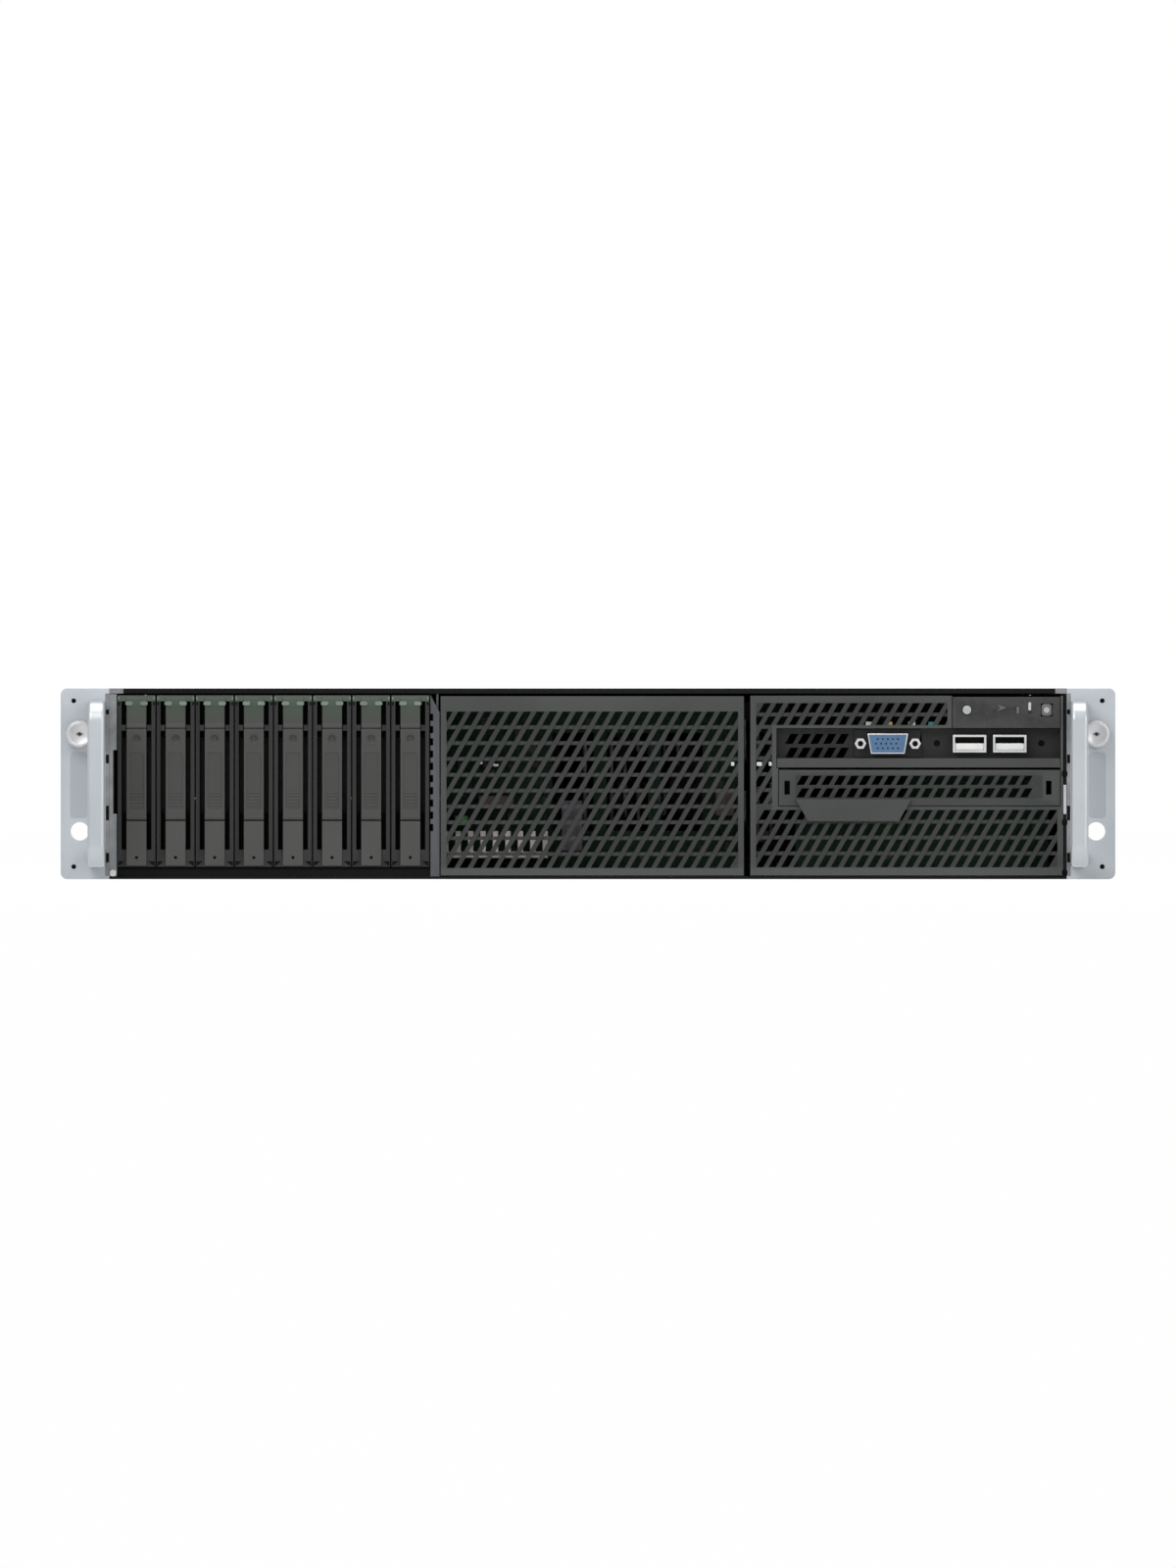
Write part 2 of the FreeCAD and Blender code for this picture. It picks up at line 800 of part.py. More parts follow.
def drive_bay_cover():
    """Fixed front part of the top, with the narrow front lip."""
    body = new_body("drive_bay_cover")
    lip_low = s.chassis_height - s.cover_lip
    back = front + s.bay_cover_depth
    pad(body, "bay_cover_sheet", "YZ", -half_width, half_width, [
        (front, lip_low), (front + s.steel, lip_low), (front + s.steel, cover_low),
        (back, cover_low), (back, s.chassis_height), (front, s.chassis_height)])
    reach = half_width - s.steel - s.fit_gap
    outer = half_width + s.fit_gap
    pocket(body, "bay_cover_notches", "XY", lip_low, cover_low,
           rectangle(-outer, -reach, front, front + s.steel), rectangle(reach, outer, front, front + s.steel))
    keep(body)


def system_cover():
    """Sliding cover over the main board, with a stiffener at its rear and two sunk grip pads."""
    body = new_body("system_cover")
    start = front + s.bay_cover_depth + s.cover_travel_gap
    pad(body, "cover_sheet", "XY", cover_low, s.chassis_height,
        rectangle(-half_width, half_width, start, rear))
    grip = start + s.grip_pad_depth
    sink = s.chassis_height - s.grip_pad_sink
    pocket(body, "cover_grip_pads", "XY", sink, s.chassis_height, *[
        rectangle(side * half_width / 2 - s.grip_pad_width / 2, side * half_width / 2 + s.grip_pad_width / 2,
                  grip, grip + s.grip_pad_depth) for side in (-1, 1)])
    rib_front = rear - s.grip_pad_depth
    pad(body, "cover_stiffener", "XY", cover_low - s.steel, cover_low,
        rectangle(-half_width + s.wall_flange + s.slide_gap, half_width - s.wall_flange - s.slide_gap,
                  rib_front - s.steel, rib_front))
    keep(body)


# Rack ears, handles and thumb screws

def rack_ear(name, side):
    """Angle bracket with the rack flange in front and a leg along the chassis wall."""
    body = new_body(name)
    outer = side * rack_width / 2
    wall = side * half_width
    leg = side * (half_width + s.ear_thick)
    pad(body, name + "_angle", "XY", 0, s.chassis_height, [
        (wall, front), (outer, front), (outer, front + s.ear_thick), (leg, front + s.ear_thick),
        (leg, front + s.ear_side_depth), (wall, front + s.ear_side_depth)])
    cut_y = front + s.ear_thick * 3
    back_y = front + s.ear_side_depth
    trims = [rectangle(cut_y, back_y, 0, s.ear_side_low),
             rectangle(cut_y, back_y, s.chassis_height - s.ear_side_low, s.chassis_height)]
    low_x, high_x = (wall, leg) if side > 0 else (leg, wall)
    pocket(body, name + "_trims", "YZ", low_x, high_x, *trims)
    hole_x = side * s.rack_hole_spread / 2
    pocket(body, name + "_holes", "XZ", front, front + s.ear_thick, circles=[
        ((hole_x, s.lower_hole_height), s.rack_hole_radius),
        ((hole_x, upper_hole_height), s.screw_hole_radius)])

    def outer_corner(a, b):
        return along_y(a, b) and abs(abs(a.x) - rack_width.number / 2) < SAME_PLACE

    round_edges(body, "Fillet", name + "_corners", outer_corner, s.ear_corner)
    keep(body)


def handle(name, side):
    """Pull handle: a flat bar bent into a U that stands on the flange."""
    body = new_body(name)
    inner_x = side * handle_inner_x
    outer_x = side * (handle_inner_x + s.handle_width)
    low_x, high_x = (inner_x, outer_x) if side > 0 else (outer_x, inner_x)
    tip = front - s.handle_reach
    high = s.chassis_height - s.handle_low
    pad(body, name + "_block", "YZ", low_x, high_x, rectangle(tip, front, s.handle_low, high))
    pocket(body, name + "_hand_gap", "YZ", low_x, high_x,
           rectangle(tip + s.handle_thick, front, s.handle_low + s.handle_thick, high - s.handle_thick))

    def outer_bend(a, b):
        return along_x(a, b) and near(a.y, tip)

    def inner_bend(a, b):
        return along_x(a, b) and near(a.y, tip + s.handle_thick)

    round_edges(body, "Fillet", name + "_outer_bends", outer_bend, s.handle_corner)
    round_edges(body, "Fillet", name + "_inner_bends", inner_bend, s.handle_hand_corner)
    keep(body)


def thumb_screw(name, side):
    """Captive screw: head with a centre socket, and shank through the flange."""
    body = new_body(name)
    head_back = s.slide_gap
    head_front = head_back + s.screw_head_length
    turned(body, name + "_profile", [
        (0, -(head_front - s.screw_socket_depth)),
        (s.screw_socket_radius, -(head_front - s.screw_socket_depth)),
        (s.screw_socket_radius, -head_front),
        (s.screw_head_radius, -head_front),
        (s.screw_head_radius, -head_back),
        (s.screw_shank_radius, -head_back),
        (s.screw_shank_radius, s.screw_shank_length),
        (0, s.screw_shank_length)])
    place(body, side * s.rack_hole_spread / 2, front, upper_hole_height)
    keep(body)


# Drive bay

def cage_level(name, sheet_low, rib_low):
    """Deck or top sheet of the drive cage with a guide rib between every two drives."""
    body = new_body(name)
    left = cage_left + s.cage_sheet
    right = cage_right_x - s.cage_sheet
    pad(body, name + "_sheet", "XZ", cage_front, cage_back,
        rectangle(left, right, sheet_low, sheet_low + s.cage_sheet))
    rib_x = first_drive_x + s.drive_pitch / 2
    rib = pad(body, name + "_ribs", "XZ", cage_front + s.carrier_face_depth, cage_front + s.guide_depth,
              rectangle(rib_x - s.guide_width / 2, rib_x + s.guide_width / 2,
                        rib_low, rib_low + s.guide_tall))
    repeat(body, [rib], "X", s.drive_pitch, s.drive_count - 1)
    return body


def cage_side(name, left):
    """One side wall of the drive cage."""
    body = new_body(name)
    pad(body, name + "_sheet", "XZ", cage_front, cage_back,
        rectangle(left, left + s.cage_sheet, s.steel, cage_top))
    return body


def drive_cage():
    """Sheet box round the carriers with a raised deck, guide ribs and the windowed column."""
    deck = cage_level("cage_deck", s.cage_floor, s.cage_floor + s.cage_sheet)
    pad(deck, "cage_sill", "XZ", cage_front, cage_front + s.cage_sheet,
        rectangle(cage_left + s.cage_sheet, cage_right_x - s.cage_sheet, s.steel, s.cage_floor))
    top = cage_level("cage_roof", cage_top - s.cage_sheet, cage_top - s.cage_sheet - s.guide_tall)
    left_side = cage_side("cage_left_side", cage_left)
    right_side = cage_side("cage_right_side", cage_right_x - s.cage_sheet)
    pad(right_side, "cage_column", "XZ", front, cage_front, [
        (column_left_x, s.steel), (column_right_x, s.steel), (column_right_x, column_shoulder),
        (column_left_x, cage_top - s.cage_sheet)])
    window = pocket(right_side, "cage_column_window", "XZ", front, cage_front,
                    rectangle(column_left_x, column_left_x + s.column_window,
                              s.column_window_low, s.column_window_low + s.column_window_tall))
    repeat(right_side, [window], "Z", s.column_window_pitch, s.column_window_count)
    keep(group("drive_cage", [deck, top, left_side, right_side]))


def drive_backplane():
    """Board at the back of the cage with one plug and one air slot for each drive."""
    body = new_body("drive_backplane")
    left = cage_left + s.cage_sheet + s.fit_gap
    right = cage_right_x - s.cage_sheet - s.fit_gap
    pad(body, "backplane_board", "XZ", backplane_front, cage_back,
        rectangle(left, right, s.backplane_low, backplane_high))
    slot_x = first_drive_x + s.drive_pitch / 2
    slot = pocket(body, "backplane_air_slot", "XZ", backplane_front, cage_back,
                  rectangle(slot_x - s.board_slot_width / 2, slot_x + s.board_slot_width / 2,
                            plug_middle - s.board_slot_tall / 2, plug_middle + s.board_slot_tall / 2))
    repeat(body, [slot], "X", s.drive_pitch, s.drive_count - 1)
    plug = pad(body, "backplane_plug", "XZ", backplane_front - s.plug_depth, backplane_front,
               rectangle(first_drive_x - s.plug_width / 2, first_drive_x + s.plug_width / 2,
                         plug_middle - s.plug_tall / 2, plug_middle + s.plug_tall / 2))
    repeat(body, [plug], "X", s.drive_pitch, s.drive_count)
    keep(body)


def carrier_tray(name):
    """Moulded face with the channel of the lever, and the two rails that hold the drive."""
    body = new_body(name + "_tray")
    half = s.carrier_width / 2
    channel = s.channel_width / 2
    strip = s.strip_width / 2
    face_back = carrier_front + s.carrier_face_depth
    floor_y = carrier_front + s.channel_depth
    pad(body, name + "_face", "XZ", carrier_front, face_back,
        rectangle(-half, half, s.carrier_low, carrier_high))
    pocket(body, name + "_channel", "XZ", carrier_front, floor_y,
           rectangle(-channel, channel, s.channel_low, channel_high))
    pad(body, name + "_foot", "XZ", strip_front, floor_y, rectangle(-strip, strip, s.foot_low, s.foot_high))
    pad(body, name + "_bridges", "XZ", carrier_front + s.fit_gap, floor_y,
        rectangle(-channel, -strip - s.lever_gap, bridge_low, bridge_high),
        rectangle(strip + s.lever_gap, channel, bridge_low, bridge_high))
    vent_x = (channel + strip) / 2
    pocket(body, name + "_vents", "XZ", floor_y, face_back,
           rectangle(-vent_x - s.vent_width / 2, -vent_x + s.vent_width / 2, s.vent_low, s.vent_high),
           rectangle(vent_x - s.vent_width / 2, vent_x + s.vent_width / 2, s.vent_low, s.vent_high))
    drive_low = (s.carrier_low + carrier_high - drive_tall) / 2 - s.fit_gap
    drive_high = drive_low + drive_tall + 2 * s.fit_gap
    rail = s.rail_width / 2
    rail_back = face_back + s.rail_depth
    pad(body, name + "_rails", "XZ", face_back, rail_back,
        rectangle(-rail, rail, drive_low - s.rail_tall, drive_low),
        rectangle(-rail, rail, drive_high, drive_high + s.rail_tall))
    return body


def carrier_drive(name):
    """Drive of 2.5-inch size, standing on edge, with the sunk middle of its lid."""
    body = new_body(name + "_drive")
    low = (s.carrier_low + carrier_high - drive_tall) / 2
    start = front + s.drive_set_back
    end = start + s.drive_length
    half = s.drive_width / 2
    border = s.drive_lid_border
    pad(body, name + "_case", "YZ", -half, half, rectangle(start, end, low, low + drive_tall))
    pocket(body, name + "_lid", "YZ", half - s.drive_lid_sink, half,
           rectangle(start + border, end - border, low + border, low + drive_tall - border))
    return body


def drive_carrier(number):
    """One carrier: tray and drive, which slide out together."""
    name = f"drive_carrier_{number}"
    both = group(name, [carrier_tray(name), carrier_drive(name)])
    place(both, first_drive_x + (number - 1) * s.drive_pitch)
    keep(both)


def carrier_lever(number):
    """Opening lever with a round heel at its pivot and a thinned, ribbed grip."""
    name = f"carrier_lever_{number}"
    body = new_body(name)
    half = s.strip_width / 2
    back = strip_front + s.lever_thick
    grip_low = lever_high - s.lever_thick * 3
    heel = s.foot_high + s.lever_gap
    pad(body, name + "_bar", "YZ", -half, half, [
        (strip_front, heel), (back, heel), (back, grip_low),
        (back - s.lever_grip, grip_low + s.lever_grip), (back - s.lever_grip, lever_high),
        (strip_front, lever_high)])

    def heel_edge(a, b):
        return along_x(a, b) and near(a.z, heel)

    round_edges(body, "Fillet", name + "_heel", heel_edge, s.lever_heel_radius)
    place(body, first_drive_x + (number - 1) * s.drive_pitch)
    keep(body)


def release_button(number):
    """Tinted button above the lever, with a thumb nib on its face."""
    name = f"release_button_{number}"
    body = new_body(name)
    half = s.strip_width / 2
    low = lever_high + s.lever_gap
    pad(body, name + "_cap", "XZ", strip_front, strip_front + s.button_thick,
        rectangle(-half, half, low, button_high))
    slope = s.button_nib
    pocket(body, name + "_scoop", "YZ", -half, half, [
        (strip_front, low + slope), (strip_front + slope / 2, low + slope * 2),
        (strip_front + slope / 2, button_high - slope * 3), (strip_front, button_high - slope * 2)])
    place(body, first_drive_x + (number - 1) * s.drive_pitch)
    keep(body)


# Bay panels with the slanted mesh

def clipped(points, axis, limit, side):
    """An outline cut back to one side of a limit along one of its two axes."""
    kept = []
    for here, there in zip(points, points[1:] + points[:1]):
        over, under = (here[axis] - limit) * side, (there[axis] - limit) * side
        if over >= 0:
            kept.append(here)
        if over * under < 0:
            share = over / (over - under)
            kept.append(tuple(a + (b - a) * share for a, b in zip(here, there)))
    return kept


def outline_area(points):
    """The area inside an outline."""
    return abs(sum(a[0] * b[1] - b[0] * a[1] for a, b in zip(points, points[1:] + points[:1]))) / 2


def slanted_openings(left, right, low, high, pitch, start):
    """Long openings of one mesh zone, between webs that lean to the right, cut straight at its sides.

    Zones with the same start have webs in line with each other.
    """
    left, right, low, high, pitch = [as_size(value).number for value in (left, right, low, high, pitch)]
    start_x, start_z = [as_size(value).number for value in start]
    lean = tangent(s.mesh_slant).number
    width = pitch - s.mesh_web.number
    foot = start_x + (low - start_z) * lean
    shift = (high - low) * lean
    first = math.floor((left - foot - shift) / pitch) - 1
    last = math.ceil((right - foot) / pitch)
    openings = []
    for column in range(first, last + 1):
        x = foot + column * pitch
        opening = [(x, low), (x + width, low), (x + width + shift, high), (x + shift, high)]
        opening = clipped(clipped(opening, 0, left, 1), 0, right, -1)
        if len(opening) > 2 and outline_area(opening) > s.mesh_least.number:
            openings.append(opening)
    return openings


def level_strips(name, left, right, low, high, pitch):
    """Level strips of one mesh zone, welded behind the slanted webs."""
    body = new_body(name)
    strip_z = low + pitch - s.mesh_bar
    behind = front + s.mesh_thick
    strip = pad(body, name + "_strip", "XZ", behind, behind + s.mesh_thick,
                rectangle(left - s.mesh_bar, right + s.mesh_bar, strip_z, strip_z + s.mesh_bar))
    repeat(body, [strip], "Z", pitch, whole((high - s.mesh_bar - strip_z) / pitch) + 1)
    return body


def upright_wire(points):
    """A closed wire on the front plane."""
    corners = [Vector(as_size(x).number, front.number, as_size(z).number) for x, z in points]
    return Part.makePolygon(corners + corners[:1])


def perforated_sheet(name, outline, openings):
    """Front sheet of a panel, made in one go from its outline and all its openings."""
    wires = [upright_wire(points) for points in [outline] + openings]
    face = Part.makeFace(wires, "Part::FaceMakerBullseye")
    sheet = document.addObject("Part::Feature", name)
    sheet.Shape = face.extrude(Vector(0, s.mesh_thick.number, 0))
    sheet.Placement = FreeCAD.Placement()
    return sheet


def folded_rim(name, left, right, low, high):
    """The edges of a panel, folded back all round."""
    body = new_body(name)
    edge = s.mesh_thick
    pad(body, name + "_ring", "XZ", front + s.mesh_thick, front + s.mesh_rim,
        rectangle(left, right, low, high),
        rectangle(left + edge, right - edge, low + edge, high - edge))
    return body


def center_bay_grille():
    """Filler of the empty centre bay: rimmed sheet with slanted openings and level strips behind."""
    left, right = center_left_x, center_right_x
    low, high = s.center_low, center_high
    mesh = (left + s.center_side_bar, right - s.center_side_bar, low + s.center_bottom_bar,
            high - s.center_top_bar)
    openings = slanted_openings(*mesh, s.mesh_pitch_x, (mesh[0], mesh[2]))
    sheet = perforated_sheet("center_sheet", rectangle(left, right, low, high), openings)
    panel = fuse("center_panel", [sheet, folded_rim("center_rim", left, right, low, high)])
    keep(group("center_bay_grille", [panel, level_strips("center_strips", *mesh, s.mesh_pitch_z)]))


def right_bay_grille():
    """Panel of the right bay: mesh round the bays of the ports, the controls and the filler."""
    left, right = right_left_x, right_right_x
    low, high = s.right_low, right_high
    gap = s.bay_gap
    bay_right = port_bay_right + gap
    control_edge = control_left - gap
    filler_edge = filler_left - gap
    port_left = port_bay_left - gap
    port_high = port_bay_high + gap
    outline = [
        (left, low), (right, low), (right, high), (bay_right, high), (bay_right, filler_low - gap),
        (filler_edge, filler_low - gap), (filler_edge, port_bay_low), (port_left, port_bay_low),
        (port_left, port_high), (control_edge, port_high), (control_edge, high), (left, high)]
    mesh_left = left + s.right_border
    start = (mesh_left, s.right_mesh_low)
    land_low = filler_low - s.right_land
    rows_below = whole((land_low - s.right_mesh_low) / s.mesh_pitch_z) + 1
    column_low = s.right_mesh_low + rows_below * s.mesh_pitch_z
    zones = {
        "right_lower": (mesh_left, right - s.right_border, s.right_mesh_low, land_low),
        "right_column": (mesh_left, port_left - s.right_land, column_low, right_top_low - s.mesh_bar),
        "right_upper": (mesh_left, control_edge - s.right_land, right_top_low, right_top_high),
    }
    pitches = {
        "right_lower": s.mesh_pitch_z,
        "right_column": s.mesh_pitch_z,
        "right_upper": s.right_top_pitch,
    }
    openings = []
    for zone in zones.values():
        openings += slanted_openings(*zone, s.right_pitch_x, start)
    sheet = perforated_sheet("right_sheet", outline, openings)
    rim = folded_rim("right_rim", left, right, low, high)
    pocket(rim, "right_rim_notch", "XZ", front + s.mesh_thick, front + s.mesh_rim,
           rectangle(control_edge, bay_right, port_high, high + gap))
    strips = [level_strips(name, *zone, pitches[name]) for name, zone in zones.items()]
    keep(group("right_bay_grille", [fuse("right_panel", [sheet, rim])] + strips))


def front_io_panel():
    """Recessed plate behind the port bay, with its lower ledge and a patch of vent holes."""
    body = new_body("front_io_panel")
    plate = front + s.port_plate_sink
    back = plate + s.mesh_thick
    left, right = port_bay_left, port_bay_right
    low, high = port_bay_low + s.bay_gap, port_bay_high
    pad(body, "io_plate", "XZ", plate, back, rectangle(left, right, low, high))
    pad(body, "io_ledge", "XZ", front, back, rectangle(left, right, low, low + s.port_ledge))
    vga_low, vga_high = port_z - s.vga_tall / 2 - s.fit_gap, port_z + s.vga_tall / 2 + s.fit_gap
    usb_low, usb_high = port_z - s.usb_tall / 2 - s.fit_gap, port_z + s.usb_tall / 2 + s.fit_gap
    usb_half = s.usb_width / 2 + s.fit_gap
    vga_half = s.vga_width / 2 + s.fit_gap
    pocket(body, "io_cutouts", "XZ", plate, back,
           rectangle(vga_x - vga_half, vga_x + vga_half, vga_low, vga_high),
           *[rectangle(x - usb_half, x + usb_half, usb_low, usb_high)
             for x in (usb_first_x, usb_first_x + s.usb_step)])
    lean = s.port_hole_tall * tangent(s.mesh_slant)
    hole_x = left + s.port_hole_width
    hole = pocket(body, "io_vent", "XZ", plate, back, *[
        [(hole_x, z), (hole_x + s.port_hole_width, z),
         (hole_x + s.port_hole_width + lean, z + s.port_hole_tall),
         (hole_x + lean, z + s.port_hole_tall)]
        for z in (port_hole_low, port_hole_low + s.port_hole_step)])
    repeat(body, [hole], "X", s.port_hole_pitch, s.port_hole_count)
    keep(body)


def control_panel():
    """Moulded block beside the ports with guides for two buttons and two light windows."""
    body = new_body("control_panel")
    start = front - s.control_proud
    back = front + s.control_depth
    pad(body, "control_block", "XZ", start, back,
        rectangle(control_left, port_bay_right, port_bay_high + s.bay_gap, control_high))
    power_half_x = s.power_width / 2 + s.button_gap
    power_half_z = s.power_tall / 2 + s.button_gap
    pocket(body, "control_power_guide", "XZ", start, back,
           rectangle(power_x - power_half_x, power_x + power_half_x,
                     power_z - power_half_z, power_z + power_half_z))
    pocket(body, "control_id_guide", "XZ", start, back, circles=[((id_x, id_z), s.id_radius + s.button_gap)])
    light = pocket(body, "control_light", "XZ", start, start + s.control_proud,
                   rectangle(light_x - s.light_spread / 2 - s.light_width / 2,
                             light_x - s.light_spread / 2 + s.light_width / 2,
                             power_z - s.light_tall / 2, power_z + s.light_tall / 2))
    repeat(body, [light], "X", s.light_spread, s.light_count)
    keep(body)


key_front = front - s.control_proud - s.key_proud


def power_button():
    """Rounded key that slides in its guide."""
    body = new_body("power_button")
    half_x, half_z = s.power_width / 2, s.power_tall / 2
    pad(body, "power_cap", "XZ", key_front, key_front + s.key_length,
        rectangle(power_x - half_x, power_x + half_x, power_z - half_z, power_z + half_z))
    round_edges(body, "Chamfer", "power_corners", along_y, s.key_collar)
    keep(body)


def id_button():
    """Small round key that slides in its guide."""
    body = new_body("id_button")
    turned(body, "id_profile", [
        (0, 0), (s.id_radius, 0), (s.id_radius, s.key_length), (0, s.key_length)])
    place(body, id_x, key_front, id_z)
    keep(body)


def vga_port():
    """Video socket: insulator inside a tapered shell, its mounting flange and two nuts."""
    body = new_body("vga_port")
    plate = front + s.port_plate_sink
    half, tall, taper = s.vga_width / 2, s.vga_tall / 2, s.vga_taper
    pad(body, "vga_flange", "XZ", plate - s.port_shell, plate,
        rectangle(vga_x - s.vga_flange_width / 2, vga_x + s.vga_flange_width / 2,
                  port_z - s.vga_flange_tall / 2, port_z + s.vga_flange_tall / 2))
    shell = [(vga_x - half, port_z + tall), (vga_x - half + taper, port_z - tall),
             (vga_x + half - taper, port_z - tall), (vga_x + half, port_z + tall)]
    pad(body, "vga_shell", "XZ", plate - s.vga_reach, plate + s.vga_reach, shell)
    pad(body, "vga_nuts", "XZ", plate - s.vga_reach + s.port_shell, plate, *[
        polygon((vga_x + side * s.vga_nut_spread / 2, port_z), s.vga_nut_radius, 6) for side in (-1, 1)])
    keep(body)


def usb_port(name, x):
    """One USB socket: a folded shell round a tongue."""
    body = new_body(name)
    start = front + s.port_plate_sink - s.usb_reach
    back = start + s.usb_length
    half, tall, wall = s.usb_width / 2, s.usb_tall / 2, s.usb_wall
    pad(body, name + "_shell", "XZ", start, back, rectangle(x - half, x + half, port_z - tall, port_z + tall))
    pocket(body, name + "_mouth", "XZ", start, back - wall,
           rectangle(x - half + wall, x + half - wall, port_z - tall + wall, port_z + tall - wall))
    low = port_z - tall + wall
    pad(body, name + "_tongue", "XZ", start + wall, back,
        rectangle(x - half + wall, x + half - wall, low, low + s.usb_tongue))
    return body


def usb_ports():
    """The two USB sockets of the front."""
    keep(group("usb_ports", [usb_port("usb_left", usb_first_x),
                             usb_port("usb_right", usb_first_x + s.usb_step)]))


def optical_bay_filler():
    """Filler of the slim drive bay: perforated face, finger tab and a short tray behind."""
    body = new_body("optical_bay_filler")
    start = front - s.filler_proud
    back = start + s.filler_sheet
    left, right = filler_left, filler_right
    low, high = filler_low, filler_high
    pad(body, "filler_face", "XZ", start, back, rectangle(left, right, low, high))
    pad(body, "filler_tab", "XZ", start - s.tab_thick, start, [
        (tab_left + s.tab_slope, tab_low), (tab_right - s.tab_slope, tab_low),
        (tab_right, low + s.tab_slope / 2), (tab_left, low + s.tab_slope / 2)])
    sheet = s.filler_sheet
    pad(body, "filler_tray", "XZ", back, back + s.filler_tray_depth,
        rectangle(left + sheet, right - sheet, low, low + sheet),
        rectangle(left + sheet, right - sheet, high - sheet, high))
    slot_low = (low + high - s.filler_slot_tall) / 2
    pocket(body, "filler_end_slots", "XZ", start, back, *[
        rectangle(x - s.filler_slot_width / 2, x + s.filler_slot_width / 2,
                  slot_low, slot_low + s.filler_slot_tall)
        for x in (left + s.filler_slot_inset, right - s.filler_slot_inset - s.filler_sheet)])
    lean = s.filler_hole_tall * tangent(s.mesh_slant)
    x = filler_holes_from
    hole = pocket(body, "filler_hole", "XZ", start, back, *[
        [(x, z), (x + s.filler_hole_width, z), (x + s.filler_hole_width + lean, z + s.filler_hole_tall),
         (x + lean, z + s.filler_hole_tall)]
        for z in (filler_row_low, filler_row_low + s.filler_row_step)])
    span = filler_holes_to - filler_holes_from
    repeat(body, [hole], "X", s.right_pitch_x, whole(span / s.right_pitch_x))
    keep(body)


# Inside the chassis

fan_front = front + s.fan_set_back
fan_middle_z = s.steel + fan_size / 2 + s.fit_gap
first_fan_x = -fan_pitch * (s.fan_count - 1) / 2


def hub_sides():
    """Two flat sides of the hub for each blade."""
    return 2 * int(s.fan_blades.number)


def fan_frame(number):
    """Square fan frame with a many-sided duct and a motor seat on an upright strut."""
    name = f"fan_frame_{number}"
    body = new_body(name)
    half = fan_size / 2
    middle = (as_size(0), as_size(0))
    pad(body, name + "_block", "XZ", 0, s.fan_depth, rectangle(-half, half, -half, half),
        polygon(middle, fan_duct_radius, FAN_DUCT_SIDES))
    seat = s.fan_depth - s.fan_motor_thick
    pad(body, name + "_strut", "XZ", seat, s.fan_depth,
        rectangle(-s.fan_strut / 2, s.fan_strut / 2, -fan_duct_radius - s.fit_gap,
                  fan_duct_radius + s.fit_gap))
    pad(body, name + "_seat", "XZ", seat, s.fan_depth, polygon(middle, s.fan_hub_radius, hub_sides()))
    place(body, first_fan_x + (number - 1) * fan_pitch, fan_front, fan_middle_z)
    return body


def fan_frames():
    """The frames of the fan row."""
    keep(group("fan_frames", [fan_frame(number) for number in numbers(s.fan_count)]))


def fan_rotor(number):
    """Hub with a ring of tilted blades."""
    name = f"fan_rotor_{number}"
    body = new_body(name)
    hub_back = s.fan_depth - s.fan_motor_thick - s.fan_bearing_gap
    pad(body, name + "_hub", "XZ", s.fan_motor_thick, hub_back,
        polygon((as_size(0), as_size(0)), s.fan_hub_radius, hub_sides()))
    sweep = s.fan_blade_sweep / 2
    thick = s.fan_blade_thick
    blade_front = s.fan_motor_thick * 2
    blade_back = hub_back - s.fan_motor_thick
    blade = pad(body, name + "_blade", "XY", s.fan_hub_radius - s.fan_motor_thick,
                fan_duct_radius - s.fan_tip_gap, [
                    (-sweep, blade_front), (-sweep + thick, blade_front),
                    (sweep, blade_back), (sweep - thick, blade_back)])
    repeat_round(body, blade, s.fan_blades)
    place(body, first_fan_x + (number - 1) * fan_pitch, fan_front, fan_middle_z)
    keep(body)


def motherboard():
    """Main board on standoffs, with two processor sockets and two banks of memory slots."""
    body = new_body("motherboard")
    start = front + s.main_board_front
    end = rear - s.steel - s.fit_gap
    left, right = main_board_left, main_board_right
    waist = main_board_waist
    shoulder = supply_front - s.latch_width
    pad(body, "board_sheet", "XY", s.main_board_z, board_top, [
        (left, start), (right, start), (right, shoulder), (waist, shoulder), (waist, end), (left, end)])
    inset = s.standoff_radius * 3
    pad(body, "board_standoffs", "XY", s.steel, s.main_board_z, *[
        polygon((x, y), s.standoff_radius, 6) for x in (left + inset, waist - inset)
        for y in (start + inset, (start + end) / 2, end - inset)])
    socket = pad(body, "board_socket", "XY", board_top, board_top + s.socket_tall,
                 rectangle(socket_first_x - s.socket_size / 2, socket_first_x + s.socket_size / 2,
                           front + s.socket_y - s.socket_size / 2, front + s.socket_y + s.socket_size / 2))
    repeat(body, [socket], "X", socket_step_x, s.processor_count)
    for bank in numbers(s.processor_count):
        x = module_first_x + (bank - 1) * module_bank_gap
        slot = pad(body, f"board_memory_slot_{bank}", "XY", board_top, board_top + s.module_slot_tall,
                   rectangle(x - s.module_slot_width / 2, x + s.module_slot_width / 2,
                             front + s.socket_y - s.module_length / 2 - s.module_slot_width,
                             front + s.socket_y + s.module_length / 2 + s.module_slot_width))
        repeat(body, [slot], "X", s.module_pitch, bank_modules)
    keep(body)


def memory_modules():
    """Memory modules standing on their slots."""
    low = board_top + s.module_slot_tall
    modules = []
    for bank in numbers(s.processor_count):
        for number in numbers(bank_modules):
            x = module_first_x + (bank - 1) * module_bank_gap + (number - 1) * s.module_pitch
            modules.append(block((x - s.module_thick / 2, x + s.module_thick / 2),
                                 (front + s.socket_y - s.module_length / 2,
                                  front + s.socket_y + s.module_length / 2),
                                 (low, low + s.module_tall), "memory_module"))
    keep(group("memory_modules", modules))


